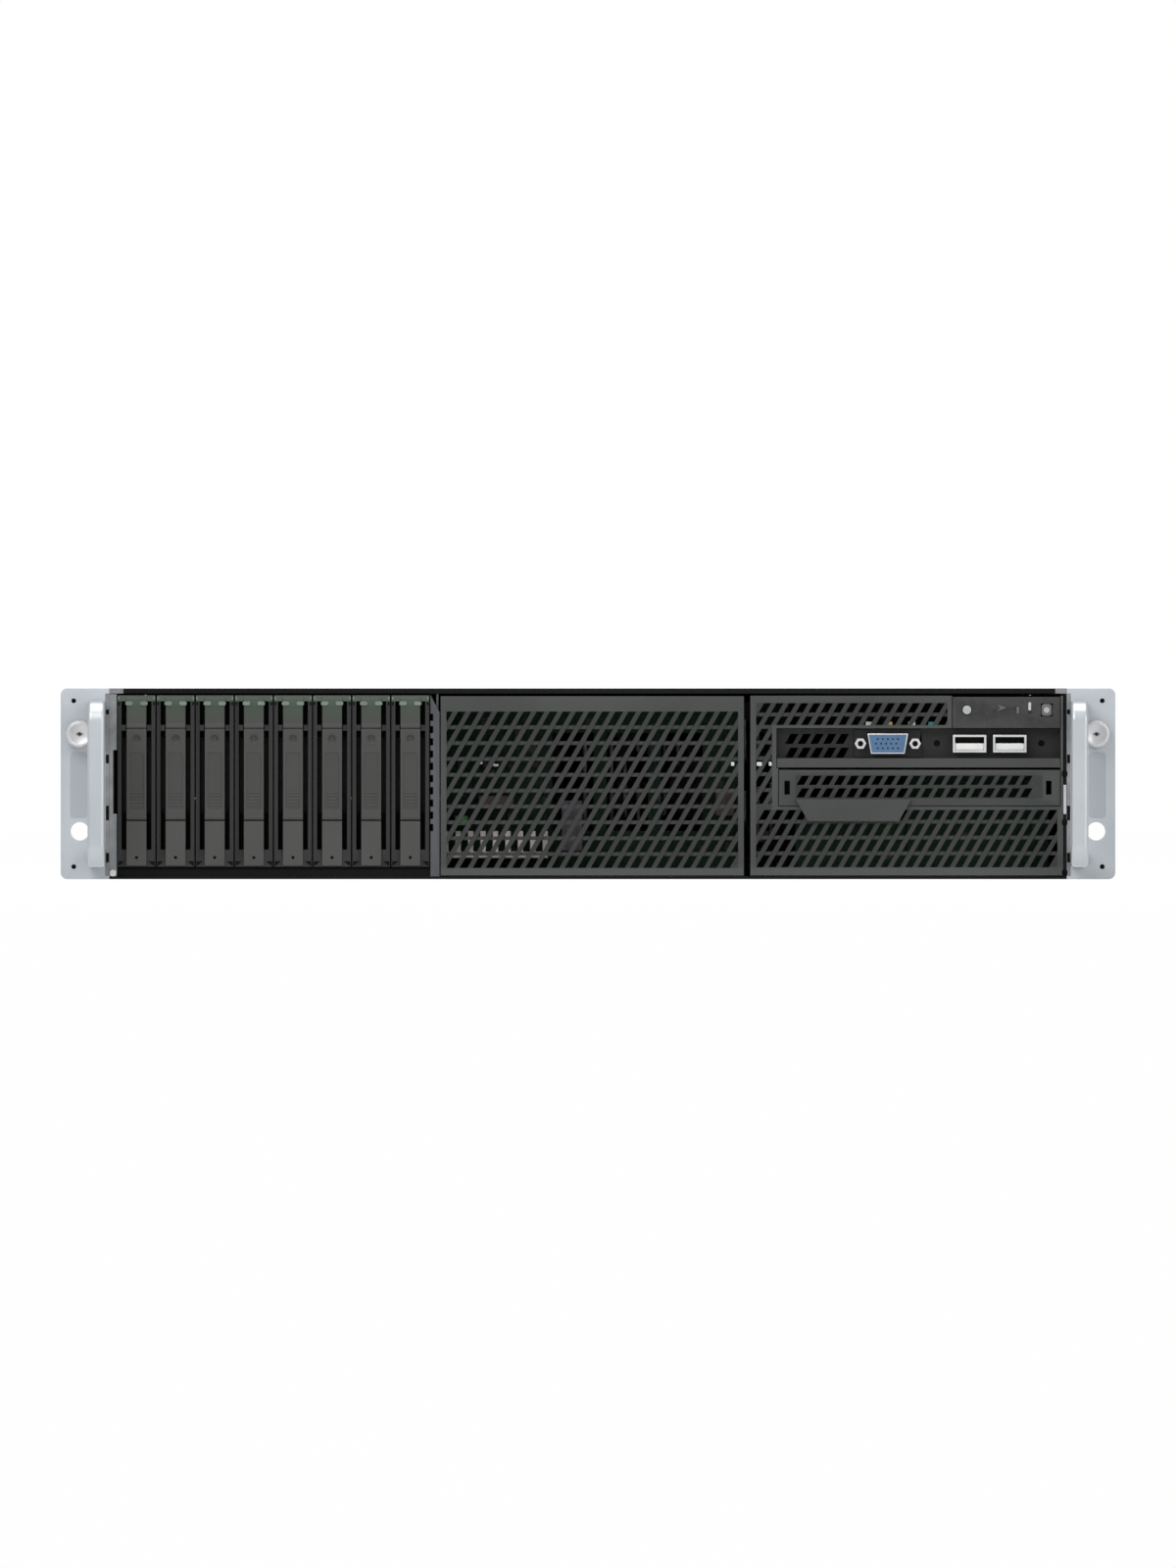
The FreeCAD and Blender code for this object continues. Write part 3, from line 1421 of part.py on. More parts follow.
def heatsink(name, x):
    """One heatsink: base plate and upright fins along the air flow."""
    body = new_body(name)
    low = board_top + s.socket_tall
    half = s.sink_size / 2
    y0, y1 = front + s.socket_y - half, front + s.socket_y + half
    pad(body, name + "_base", "XY", low, low + s.sink_base, rectangle(x - half, x + half, y0, y1))
    step = (s.sink_size - s.sink_fin) / (s.sink_fins - 1)
    fin = pad(body, name + "_fin", "XY", low + s.sink_base, low + sink_tall,
              rectangle(x - half, x - half + s.sink_fin, y0, y1))
    repeat(body, [fin], "X", step, s.sink_fins)
    return body


def processor_heatsinks():
    """One heatsink for each processor."""
    keep(group("processor_heatsinks", [
        heatsink(f"heatsink_{number}", socket_first_x + (number - 1) * socket_step_x)
        for number in numbers(s.processor_count)]))


def air_duct():
    """Thin shroud that leads the air from the fans over the processors, lower at its back."""
    body = new_body("air_duct")
    start = front + s.duct_front
    end = start + s.duct_depth
    wall = s.duct_wall
    low = board_top + s.fit_gap
    top = duct_top
    left, right = duct_left, duct_right
    drop_y = end - s.duct_step
    lower = top - s.duct_step_drop
    for name, y0, y1, roof in (("duct_front", start, drop_y, top), ("duct_rear", drop_y, end, lower)):
        pad(body, name, "XZ", y0, y1, [
            (left, low), (left + wall, low), (left + wall, roof - wall), (right - wall, roof - wall),
            (right - wall, low), (right, low), (right, roof), (left, roof)])
    pad(body, "duct_step_wall", "XZ", drop_y - wall, drop_y, rectangle(left, right, lower - wall, top))
    keep(body)


def riser_cages():
    """Riser brackets, each with an upright riser card and the covers of its unused card slots."""
    solids = []
    back = rear - s.steel - s.fit_gap
    high = s.slot_low + s.riser_slots * slot_pitch
    for number in numbers(s.riser_count):
        left = riser_left + (number - 1) * s.riser_step
        right = left + s.slot_length
        name = f"riser_{number}"
        body = new_body(name)
        pad(body, name + "_roof", "XY", high - s.steel, high,
            rectangle(left, right, back - s.riser_depth, back))
        pad(body, name + "_side", "XY", s.rear_port_tall + board_top + s.slide_gap, high,
            rectangle(right - s.steel, right, back - s.riser_depth, back))
        pad(body, name + "_slot_covers", "XZ", back - s.steel, back,
            rectangle(left, right, s.slot_low - s.slide_gap, high))
        pad(body, name + "_card", "YZ", right - s.steel - s.board_thick, right - s.steel,
            rectangle(back - s.riser_depth, back - s.riser_depth + s.riser_card_depth,
                      board_top + s.fit_gap, high))
        solids.append(body)
    keep(group("riser_cages", solids))


def rear_ports():
    """Shielded row of rear sockets: network, stacked USB and video."""
    body = new_body("rear_ports")
    start = rear - s.rear_port_depth
    left = rear_port_left
    right = left + s.rear_port_width
    low = board_top
    pad(body, "rear_port_block", "XZ", start, rear, rectangle(left, right, low, low + s.rear_port_tall))
    mouth = rear - s.lan_depth
    wall = s.usb_wall
    lan = pocket(body, "rear_lan_mouth", "XZ", mouth, rear,
                 rectangle(left + 4 * wall, left + 4 * wall + s.lan_width,
                           low + 2 * wall, low + 2 * wall + s.lan_tall))
    repeat(body, [lan], "X", s.lan_step, s.lan_count)
    usb_x = left + 4 * wall + s.lan_count * s.lan_step + 4 * wall
    usb = pocket(body, "rear_usb_mouth", "XZ", mouth, rear,
                 rectangle(usb_x, usb_x + s.rear_usb_width,
                           low + 2 * wall, low + 2 * wall + s.rear_usb_tall))
    repeat(body, [usb], "Z", s.rear_usb_tall + 2 * wall, s.rear_usb_count)
    video_x = usb_x + s.rear_usb_width + 8 * wall
    pocket(body, "rear_vga_mouth", "XZ", rear - s.vga_reach, rear, [
        (video_x, low + 4 * wall), (video_x + s.rear_vga_width, low + 4 * wall),
        (video_x + s.rear_vga_width - s.vga_taper, low + 4 * wall + s.lan_tall),
        (video_x + s.vga_taper, low + 4 * wall + s.lan_tall)])
    keep(body)


def power_board():
    """Distribution board across the chassis behind the centre bay, with its comb connector."""
    body = new_body("power_board")
    start = front + s.power_board_back
    back = start + s.board_thick
    left, right = center_left_x, center_right_x
    low = s.steel
    pad(body, "power_board_sheet", "XZ", start, back, rectangle(left, right, low, power_board_high))
    window = pocket(body, "power_board_air_window", "XZ", start, back,
                    rectangle(left + s.comb_width + s.comb_bar, left + s.comb_width + s.comb_high,
                              s.comb_high, power_board_high - s.comb_high / 2))
    repeat(body, [window], "X", s.comb_high + s.comb_bar, s.power_board_windows)
    pad(body, "comb_bar", "XZ", start - s.comb_reach, start,
        rectangle(comb_left, comb_left + s.comb_width, s.comb_low, s.comb_low + s.comb_bar))
    step = (s.comb_width - s.comb_tooth) / (s.comb_teeth - 1)
    tooth = pad(body, "comb_tooth", "XZ", start - s.comb_reach, start - s.comb_reach + s.comb_bar,
                rectangle(comb_left, comb_left + s.comb_tooth, s.comb_low + s.comb_bar, s.comb_high))
    repeat(body, [tooth], "X", step, s.comb_teeth)
    keep(body)


# Power supplies

latch_pivot_x = supply_left_x + s.supply_width - s.latch_thick * 2
latch_pivot_y = rear + s.latch_pin_radius


def power_supply(number):
    """Supply module: case, inlet recess, fan mouth with spokes and the pull handle."""
    name = f"power_supply_{number}"
    body = new_body(name)
    left = supply_left_x
    right = left + s.supply_width
    high = supply_tall
    pad(body, name + "_case", "XZ", supply_front, rear, rectangle(left, right, 0, high))
    inlet_x = left + s.inlet_inset
    inlet_z = high - s.inlet_drop
    slope = s.inlet_inset
    pocket(body, name + "_inlet", "XZ", rear - s.inlet_depth, rear, [
        (inlet_x, inlet_z - s.inlet_tall), (inlet_x + s.inlet_width, inlet_z - s.inlet_tall),
        (inlet_x + s.inlet_width, inlet_z - slope), (inlet_x + s.inlet_width - slope, inlet_z),
        (inlet_x + slope, inlet_z), (inlet_x, inlet_z - slope)])
    fan_x = inlet_x + s.inlet_width + s.supply_spoke + supply_fan_radius
    fan_z = high / 2
    pocket(body, name + "_fan_mouth", "XZ", rear - s.supply_fan_sink, rear,
           circles=[((fan_x, fan_z), supply_fan_radius)])
    spoke = s.supply_spoke / 2
    reach = supply_fan_radius + s.fit_gap
    pad(body, name + "_spoke", "XZ", rear - s.supply_spoke, rear,
        rectangle(fan_x - reach, fan_x + reach, fan_z - spoke, fan_z + spoke))
    pad(body, name + "_upright_spoke", "XZ", rear - s.supply_spoke, rear,
        rectangle(fan_x - spoke, fan_x + spoke, fan_z - reach, fan_z + reach))
    grip_x = fan_x - s.supply_handle_width / 2
    tip = rear + s.supply_handle_reach
    thick = s.supply_handle_thick
    handle_low = s.inlet_inset
    handle_high = high - s.inlet_inset
    pad(body, name + "_handle", "YZ", grip_x, grip_x + thick, [
        (rear, handle_low), (tip, handle_low), (tip, handle_high), (rear, handle_high),
        (rear, handle_high - thick), (tip - thick, handle_high - thick),
        (tip - thick, handle_low + thick), (rear, handle_low + thick)])
    place(body, z=s.supply_low + (number - 1) * supply_step)
    keep(body)


def psu_latch(number):
    """Spring latch beside the supply's fan, pressed sideways to free the module."""
    name = f"psu_latch_{number}"
    body = new_body(name)
    low = supply_tall / 2 - s.latch_width / 2
    pad(body, name + "_lever", "XY", low, low + s.latch_width, [
        (latch_pivot_x, latch_pivot_y - s.latch_pin_radius + s.slide_gap),
        (latch_pivot_x + s.latch_thick, latch_pivot_y - s.latch_pin_radius + s.slide_gap),
        (latch_pivot_x + s.latch_thick, latch_pivot_y + s.latch_reach),
        (latch_pivot_x + s.latch_thick * 2, latch_pivot_y + s.latch_reach + s.latch_thick),
        (latch_pivot_x + s.latch_thick, latch_pivot_y + s.latch_reach + s.latch_thick),
        (latch_pivot_x, latch_pivot_y + s.latch_reach)])
    place(body, z=s.supply_low + (number - 1) * supply_step)
    keep(body)


def build():
    """Makes every sub-part."""
    chassis_pan()
    drive_bay_cover()
    system_cover()
    for word, side in (("left", -1), ("right", 1)):
        rack_ear(f"rack_ear_{word}", side)
        handle(f"handle_{word}", side)
        thumb_screw(f"thumb_screw_{word}", side)
    drive_cage()
    drive_backplane()
    for number in numbers(s.drive_count):
        drive_carrier(number)
        carrier_lever(number)
        release_button(number)
    center_bay_grille()
    right_bay_grille()
    front_io_panel()
    control_panel()
    power_button()
    id_button()
    vga_port()
    usb_ports()
    optical_bay_filler()
    fan_frames()
    for number in numbers(s.fan_count):
        fan_rotor(number)
    motherboard()
    memory_modules()
    processor_heatsinks()
    air_duct()
    riser_cages()
    rear_ports()
    power_board()
    for number in numbers(s.supply_count):
        power_supply(number)
        psu_latch(number)
    document.recompute()


def check():
    """Stops where an object failed or a sub-part has no valid shape."""
    for item in document.Objects:
        if "Invalid" in item.State or "Error" in item.State:
            raise RuntimeError(f"{item.Label} failed: {item.State}")
    for piece in pieces:
        if piece.Shape.isNull() or not piece.Shape.isValid():
            raise RuntimeError(f"{piece.Label} has no valid shape")


def write():
    """Writes each sub-part to its own file."""
    os.makedirs("parts", exist_ok=True)
    for piece in pieces:
        piece.Shape.exportStep(f"parts/{piece.Label}.step")


build()
check()
write()
print(f"{len(pieces)} sub-parts, {sum(len(piece.Shape.Solids) for piece in pieces)} solids")
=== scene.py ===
import json
import math

import bmesh
import bpy
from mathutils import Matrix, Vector


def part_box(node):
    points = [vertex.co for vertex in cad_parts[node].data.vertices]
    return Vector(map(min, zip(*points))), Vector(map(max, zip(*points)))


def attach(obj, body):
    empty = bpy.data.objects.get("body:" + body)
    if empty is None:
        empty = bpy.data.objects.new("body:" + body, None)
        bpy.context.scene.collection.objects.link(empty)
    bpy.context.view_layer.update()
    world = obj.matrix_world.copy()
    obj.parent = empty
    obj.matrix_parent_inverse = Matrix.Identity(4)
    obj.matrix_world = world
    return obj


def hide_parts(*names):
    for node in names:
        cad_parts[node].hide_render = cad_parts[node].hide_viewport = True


# A two-unit rack server, seen straight from the front. Sizes are millimetres in the frame's axes and
# become metres where a mesh or a place is made. The floor, the lamps, the merge distance and the depth of
# the materials' relief are in metres.

MM = 0.001
PHOTO_SCALE = 2.23
FRONT_PLANE = -350.5
REAR_PLANE = 361.5
HALF_WIDTH = 219.0
DRIVES = 8
FANS = 4
DRIVE_PITCH = 17.9
FIRST_DRIVE_X = -206.6
STRIP_FRONT = FRONT_PLANE - 1.6
CARRIER_FRONT = FRONT_PLANE - 1.0
SCREW_X = 232.55
SCREW_Z = 66.35
SUPPLY_STEP = 41.4
SUPPLY_LOW = 2.0
PORT_PLATE = FRONT_PLANE + 6.0
SIDES = (("left", -1), ("right", 1))
SHARP_ANGLE = math.radians(35)
FLAT_ANGLE = math.radians(1)
MERGE_DISTANCE = 0.00001

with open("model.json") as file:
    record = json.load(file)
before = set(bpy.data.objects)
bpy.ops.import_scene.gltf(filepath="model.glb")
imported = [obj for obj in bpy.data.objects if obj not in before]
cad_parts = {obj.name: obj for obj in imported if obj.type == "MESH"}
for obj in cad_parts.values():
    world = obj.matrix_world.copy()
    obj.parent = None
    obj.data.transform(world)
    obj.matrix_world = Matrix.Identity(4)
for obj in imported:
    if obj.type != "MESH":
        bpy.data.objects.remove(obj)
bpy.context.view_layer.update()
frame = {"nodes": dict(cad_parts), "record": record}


# Meshes

class Shape:
    """A mesh in the making, in millimetres."""

    def __init__(self):
        self.bm = bmesh.new()

    def block(self, x, y, z):
        """A box between two places along each axis."""
        corners = [self.bm.verts.new((a, b, c)) for a in x for b in y for c in z]
        for face in ((0, 1, 3, 2), (4, 6, 7, 5), (0, 4, 5, 1), (2, 3, 7, 6), (0, 2, 6, 4), (1, 5, 7, 3)):
            self.bm.faces.new([corners[i] for i in face])
        return self

    def prism(self, outline, axis, low, high):
        """An outline across two axes, stretched along the third from low to high."""
        ends = []
        for place in (low, high):
            ends.append([self.bm.verts.new(with_axis(point, axis, place)) for point in outline])
        count = len(outline)
        self.bm.faces.new(ends[0][::-1])
        self.bm.faces.new(ends[1])
        for i in range(count):
            j = (i + 1) % count
            self.bm.faces.new([ends[0][i], ends[0][j], ends[1][j], ends[1][i]])
        return self

    def round(self, centre, axis, radius, low, high, sides):
        """A round bar along an axis."""
        return self.prism(ring(centre, radius, sides), axis, low, high)

    def grid(self, first, counts, steps, shift, radius, low, high, sides=12):
        """Columns and rows of round bars along Y from a first place; every second row is shifted."""
        for column in range(counts[0]):
            for row in range(counts[1]):
                x = first[0] + column * steps[0] + (row % 2) * shift
                self.round((x, first[1] + row * steps[1]), "Y", radius, low, high, sides)
        return self

    def turned(self, centre, axis, profile, sides, ripple=0.0):
        """A profile of (radius, place) pairs turned about an axis, with ridges where ripple isn't 0."""
        loops = []
        for radius, place in profile:
            loop = []
            for i in range(sides):
                angle = 2 * math.pi * i / sides
                swell = radius - (ripple if i % 2 and ripple < radius / 2 else 0.0)
                point = (centre[0] + swell * math.cos(angle), centre[1] + swell * math.sin(angle))
                loop.append(self.bm.verts.new(with_axis(point, axis, place)))
            loops.append(loop)
        for a, b in zip(loops, loops[1:]):
            for i in range(sides):
                j = (i + 1) % sides
                self.bm.faces.new([a[i], a[j], b[j], b[i]])
        self.bm.faces.new(loops[0][::-1])
        self.bm.faces.new(loops[-1])
        return self


def front_skin(proud, sunk):
    """From a little before the front plane to a little behind it."""
    return (FRONT_PLANE - proud, FRONT_PLANE + sunk)


def with_axis(point, axis, place):
    """A point of an outline, lifted to three axes."""
    a, b = point
    return {"X": (place, a, b), "Y": (a, place, b), "Z": (a, b, place)}[axis]


def ring(centre, radius, sides):
    """Points of a circle."""
    return [(centre[0] + radius * math.cos(2 * math.pi * (i + 0.5) / sides),
             centre[1] + radius * math.sin(2 * math.pi * (i + 0.5) / sides)) for i in range(sides)]


def rounded(left, right, low, high, radius, steps=4):
    """The outline of a rectangle with round corners."""
    points = []
    corners = ((right - radius, high - radius, 0), (left + radius, high - radius, 90),
               (left + radius, low + radius, 180), (right - radius, low + radius, 270))
    for x, z, start in corners:
        for step in range(steps + 1):
            angle = math.radians(start + 90 * step / steps)
            points.append((x + radius * math.cos(angle), z + radius * math.sin(angle)))
    return points


def smooth(piece, bevel, segments=2):
    """Rounds the sharp edges of a piece and shades it by its flat faces."""
    if bevel:
        rounding = piece.modifiers.new("edges", "BEVEL")
        rounding.width = bevel * MM
        rounding.segments = segments
        rounding.limit_method = "ANGLE"
        rounding.angle_limit = SHARP_ANGLE
        rounding.harden_normals = True
        evening = piece.modifiers.new("flat_faces", "WEIGHTED_NORMAL")
        evening.keep_sharp = True
    for polygon in piece.data.polygons:
        polygon.use_smooth = True
    piece.data.set_sharp_from_angle(angle=SHARP_ANGLE)


def linked(name, data):
    """A new object in the scene."""
    made = bpy.data.objects.new(name, data)
    bpy.context.scene.collection.objects.link(made)
    return made


def object_from(name, shape):
    """A new object in metres from a shape in millimetres, which is used up."""
    bmesh.ops.recalc_face_normals(shape.bm, faces=shape.bm.faces)
    bmesh.ops.scale(shape.bm, vec=(MM, MM, MM), verts=shape.bm.verts)
    mesh = bpy.data.meshes.new(name)
    shape.bm.to_mesh(mesh)
    shape.bm.free()
    return linked(name, mesh)


def add(name, shape, body, material, bevel=0.0):
    """A new piece on a body, from a shape in millimetres."""
    piece = object_from(name, shape)
    piece.data.materials.append(material)
    smooth(piece, bevel)
    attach(piece, body)
    return piece


def body_of(node):
    """The body that carries a node."""
    groups = frame["record"]["behaviour"]["bodies"]
    return next(body for body, members in groups.items() if node in members)


def softened(node, bevel, segments=2, cutters=()):
    """A copy of a node, cut by the cutters and with its edges rounded, which stands for the node."""
    mesh = frame["nodes"][node].data.copy()
    piece = linked(node + "_soft", mesh)
    bm = bmesh.new()
    bm.from_mesh(mesh)
    bmesh.ops.remove_doubles(bm, verts=bm.verts, dist=MERGE_DISTANCE)
    bmesh.ops.dissolve_limit(bm, angle_limit=FLAT_ANGLE, verts=bm.verts, edges=bm.edges)
    bm.to_mesh(mesh)
    bm.free()
    for tool in cutters:
        cut = piece.modifiers.new("cut", "BOOLEAN")
        cut.object = tool
        cut.solver = "EXACT"
    if cutters:
        bpy.context.view_layer.update()
        graph = bpy.context.evaluated_depsgraph_get()
        piece.data = bpy.data.meshes.new_from_object(piece.evaluated_get(graph))
        piece.modifiers.clear()
        for tool in cutters:
            bpy.data.objects.remove(tool)
    smooth(piece, bevel, segments)
    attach(piece, body_of(node))
    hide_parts(node)
    return piece


def cutter(shape):
    """A plain object that a boolean takes away."""
    return object_from("cutter", shape)


def paint(piece, material, *rules):
    """Gives a piece its material, and other materials to the faces that a rule picks.

    A rule is a material and a test of a face's centre in millimetres and its normal.
    """
    mesh = piece.data
    mesh.materials.clear()
    mesh.materials.append(material)
    for index, (other, test) in enumerate(rules, start=1):
        mesh.materials.append(other)
        for polygon in mesh.polygons:
            if test(polygon.center / MM, polygon.normal):
                polygon.material_index = index
    for polygon in mesh.polygons:
        if polygon.material_index > len(rules):
            polygon.material_index = 0


def paint_node(node, material, *rules):
    """The same for a node that keeps its shape."""
    piece = frame["nodes"][node]
    for polygon in piece.data.polygons:
        polygon.material_index = 0
    paint(piece, material, *rules)


# Materials

# Where worn edges begin and end, as the shader measures how far a place stands out.
EDGE_START = 0.52
EDGE_END = 0.62
RELIEF_DEPTH = 0.0002
WHITE = (1, 1, 1, 1)


def new_node(owner, kind, inputs, operation=None):
    """A new node of a material or a world; each input is a value, or an output that feeds it."""
    tree = owner.node_tree
    made = tree.nodes.new(kind)
    if operation:
        made.operation = operation
    for name, value in inputs.items():
        if isinstance(value, bpy.types.NodeSocket):
            tree.links.new(value, made.inputs[name])
        else:
            made.inputs[name].default_value = value
    return made


def object_place(material):
    """The place on the object, in metres."""
    return new_node(material, "ShaderNodeTexCoord", {}).outputs["Object"]


def color_over(material, factor, color):
    """Lays a color over the one that a material has, as far as a factor says."""
    links = material.node_tree.links
    base = material.node_tree.nodes["Principled BSDF"].inputs["Base Color"]
    mix = new_node(material, "ShaderNodeMix", {})
    mix.data_type = "RGBA"
    mix.inputs["B"].default_value = list(color) + [1]
    links.new(factor, mix.inputs["Factor"])
    links.new(base.links[0].from_socket, mix.inputs["A"])
    links.new(mix.outputs["Result"], base)


def surface(name, color, roughness, metallic=0.0, mottle=0.12, mottle_size=18.0, grain=900.0, bump=0.12,
            stretch=(1, 1, 1), wear=0.0, coat=0.0, uneven=0.12, shine=0.5):
    """A surface with soft mottling, fine grain, uneven gloss and paler worn edges."""
    material = bpy.data.materials.new(name)
    material.use_nodes = True
    links = material.node_tree.links
    shader = material.node_tree.nodes["Principled BSDF"]
    shader.inputs["Metallic"].default_value = metallic
    shader.inputs["Coat Weight"].default_value = coat
    shader.inputs["Specular IOR Level"].default_value = shine
    mapping = new_node(material, "ShaderNodeMapping", {"Scale": stretch, "Vector": object_place(material)})
    place = mapping.outputs["Vector"]
    noise = new_node(material, "ShaderNodeTexNoise", {"Scale": mottle_size, "Detail": 5, "Vector": place})
    cloud = noise.outputs["Fac"]
    shades = new_node(material, "ShaderNodeValToRGB", {"Fac": cloud})
    for stop, position, change in zip(shades.color_ramp.elements, (0.3, 0.7), (1 - mottle, 1 + mottle)):
        stop.position = position
        stop.color = [min(c * change, 1) for c in color] + [1]
    links.new(shades.outputs["Color"], shader.inputs["Base Color"])
    if wear:
        shape = new_node(material, "ShaderNodeNewGeometry", {})
        edge = new_node(material, "ShaderNodeMapRange", {
            "Value": shape.outputs["Pointiness"], "From Min": EDGE_START, "From Max": EDGE_END,
            "To Max": wear})
        color_over(material, edge.outputs["Result"], [min(c * 1.8 + 0.03, 1) for c in color])
    gloss = new_node(material, "ShaderNodeMapRange", {
        "Value": cloud, "To Min": max(roughness - uneven, 0.05), "To Max": min(roughness + uneven, 1)})
    links.new(gloss.outputs["Result"], shader.inputs["Roughness"])
    fine = new_node(material, "ShaderNodeTexNoise", {"Scale": grain, "Detail": 3, "Vector": place})
    relief = new_node(material, "ShaderNodeBump", {
        "Strength": bump, "Distance": RELIEF_DEPTH, "Height": fine.outputs["Fac"]})
    links.new(relief.outputs["Normal"], shader.inputs["Normal"])
    return material


def circuit_board(name, color, shine=0.5, pads=(0.35, 0.34, 0.28)):
    """Solder mask over copper: a maze of tracks and pale pads."""
    material = surface(name, color, 0.4, bump=0.2, shine=shine)
    place = object_place(material)
    tracks = new_node(material, "ShaderNodeTexVoronoi", {"Scale": 160, "Vector": place})
    tracks.distance = "MANHATTAN"
    tracks.feature = "F2"
    lines = new_node(material, "ShaderNodeMapRange", {
        "Value": tracks.outputs["Distance"], "From Min": 0.45, "From Max": 0.5})
    color_over(material, lines.outputs["Result"], [c * 2.2 + 0.01 for c in color])
    parts = new_node(material, "ShaderNodeTexVoronoi", {"Scale": 90, "Vector": place})
    parts.distance = "CHEBYCHEV"
    spots = new_node(material, "ShaderNodeMapRange", {
        "Value": parts.outputs["Distance"], "From Min": 0.16, "From Max": 0.14})
    color_over(material, spots.outputs["Result"], pads)
    return material


def inside_range(material, value, start, end):
    """One where a value in metres lies between two places in millimetres, and zero elsewhere."""
    near = {0: value, 1: (start + end) / 2 * MM, 2: (end - start) / 2 * MM}
    return new_node(material, "ShaderNodeMath", near, "COMPARE").outputs[0]


def painted_shade_zones(material, share, zones):
    """A material that keeps only a share of its color inside zones, as painted shade: left, right, low and
    high each.
    """
    parts = new_node(material, "ShaderNodeSeparateXYZ", {"Vector": object_place(material)})
    total = 0.0
    for left, right, low, high in zones:
        across = inside_range(material, parts.outputs["X"], left, right)
        upward = inside_range(material, parts.outputs["Z"], low, high)
        zone = new_node(material, "ShaderNodeMath", {0: across, 1: upward}, "MULTIPLY").outputs[0]
        total = new_node(material, "ShaderNodeMath", {0: total, 1: zone}, "MAXIMUM").outputs[0]
    shade = new_node(material, "ShaderNodeMath", {0: total, 1: 1 - share}, "MULTIPLY")
    color_over(material, shade.outputs[0], (0, 0, 0))
    return material


def fading_down(material, color, low, high):
    """Another color that takes over toward the bottom, between two heights in millimetres."""
    parts = new_node(material, "ShaderNodeSeparateXYZ", {"Vector": object_place(material)})
    depth = new_node(material, "ShaderNodeMapRange", {
        "Value": parts.outputs["Z"], "From Min": high * MM, "From Max": low * MM})
    color_over(material, depth.outputs["Result"], color)
    return material


def brushed(name, color, roughness, stretch):
    """Metal with a drawn grain along one axis."""
    return surface(name, color, roughness, metallic=0.9, mottle=0.06, mottle_size=40, grain=300, bump=0.1,
                   stretch=stretch, uneven=0.08)


def painted_sheet(name, color):
    """Dark paint on sheet metal, rough and worn at the edges."""
    return surface(name, color, 0.5, grain=1600, bump=0.2, mottle=0.14, wear=0.3, shine=0.3)


def glowing(name, color, strength):
    """A lit window."""
    material = surface(name, color, 0.3, mottle=0.05)
    shader = material.node_tree.nodes["Principled BSDF"]
    shader.inputs["Emission Color"].default_value = list(color) + [1]
    shader.inputs["Emission Strength"].default_value = strength
    return material


# The zones of the mesh panels and of the filler's slots, seen from the front, where painted shade darkens the
# paint: left, right, low and high.
CENTER_MESH = [(-64.8, 68.7, 5.1, 76.7)]
RIGHT_MESH = [(76.9, 214.8, 5.4, 31.7), (76.9, 84.2, 31.7, 70.5), (76.9, 164.5, 70.5, 80.6)]
FILLER_SLOTS = [(95.0, 208.0, 37.0, 47.6)]
# The share of the paint's color that is kept under that painted shade.
MESH_SHARE = 0.55
SLOT_SHARE = 0.6

ZINC = surface("zinc_sheet", (0.31, 0.318, 0.322), 0.5, metallic=0.55, mottle=0.05, mottle_size=90,
               uneven=0.05)
ZINC_COVER = surface("zinc_cover", (0.32, 0.328, 0.332), 0.52, metallic=0.5, mottle=0.05, mottle_size=70,
                     uneven=0.05)
BLACK_PAINT = surface("black_paint", (0.0035, 0.0035, 0.0035), 0.5, grain=1500, wear=0.15, shine=0.06)
EAR_PAINT = surface("ear_paint", (0.4, 0.43, 0.455), 0.42, metallic=0.2, mottle=0.07, grain=1400, wear=0.25)
# A darker copy of the ear metal, as painted shade: on the ears' inner sides, in a band beside the bays, and
# on the front edges of the pan and the ends of the cover lip.
SHADED_METAL = surface("metal_in_painted_shade", (0.205, 0.213, 0.22), 0.45, metallic=0.3, mottle=0.25, mottle_size=120,
                   grain=1400)
# Painted shade and reflection of the shallow finger recess in each ear, laid on as a flat patch.
EAR_RECESS_SHADE = surface("ear_recess_shade", (0.325, 0.36, 0.387), 0.4, metallic=0.2, mottle=0.04, grain=1600, bump=0.04)
HANDLE_METAL = surface("handle_metal", (0.465, 0.495, 0.52), 0.32, metallic=0.45, mottle=0.06, grain=1600,
                       bump=0.06)
NICKEL = brushed("nickel", (0.74, 0.75, 0.76), 0.28, (1, 1, 1))
SCREW_METAL = surface("screw_metal", (0.56, 0.56, 0.57), 0.36, metallic=0.5, mottle=0.06, mottle_size=200,
                      grain=1200, bump=0.06)
# Painted shade: near-black for holes, slots, notches, channels and recesses, put where there is only shade.
HOLE_SHADE = surface("painted_hole_shade", (0.002, 0.002, 0.002), 0.8, shine=0.1)
BAY_PAINT = surface("bay_paint", (0.014, 0.014, 0.014), 0.5, grain=1500, wear=0.2, shine=0.25)
COLUMN_PAINT = surface("column_paint", (0.05, 0.054, 0.058), 0.5, grain=1500, wear=0.3, shine=0.3)
CARRIER = surface("carrier_plastic", (0.011, 0.011, 0.011), 0.5, grain=1700, bump=0.25, wear=0.25, shine=0.25)
LEVER = surface("lever_plastic", (0.0425, 0.0425, 0.041), 0.5, grain=1900, bump=0.3, mottle=0.1, wear=0.3,
                shine=0.3)
BUTTON = fading_down(
    surface("button_plastic", (0.044, 0.06, 0.046), 0.42, grain=1900, bump=0.2, wear=0.3, shine=0.3),
    (0.044, 0.045, 0.0415), 70.5, 79.0)
LIGHT_PIPE = surface("light_pipe", (0.13, 0.165, 0.13), 0.25, mottle=0.1, mottle_size=200)
PANEL = painted_sheet("panel_paint", (0.0285, 0.03, 0.029))
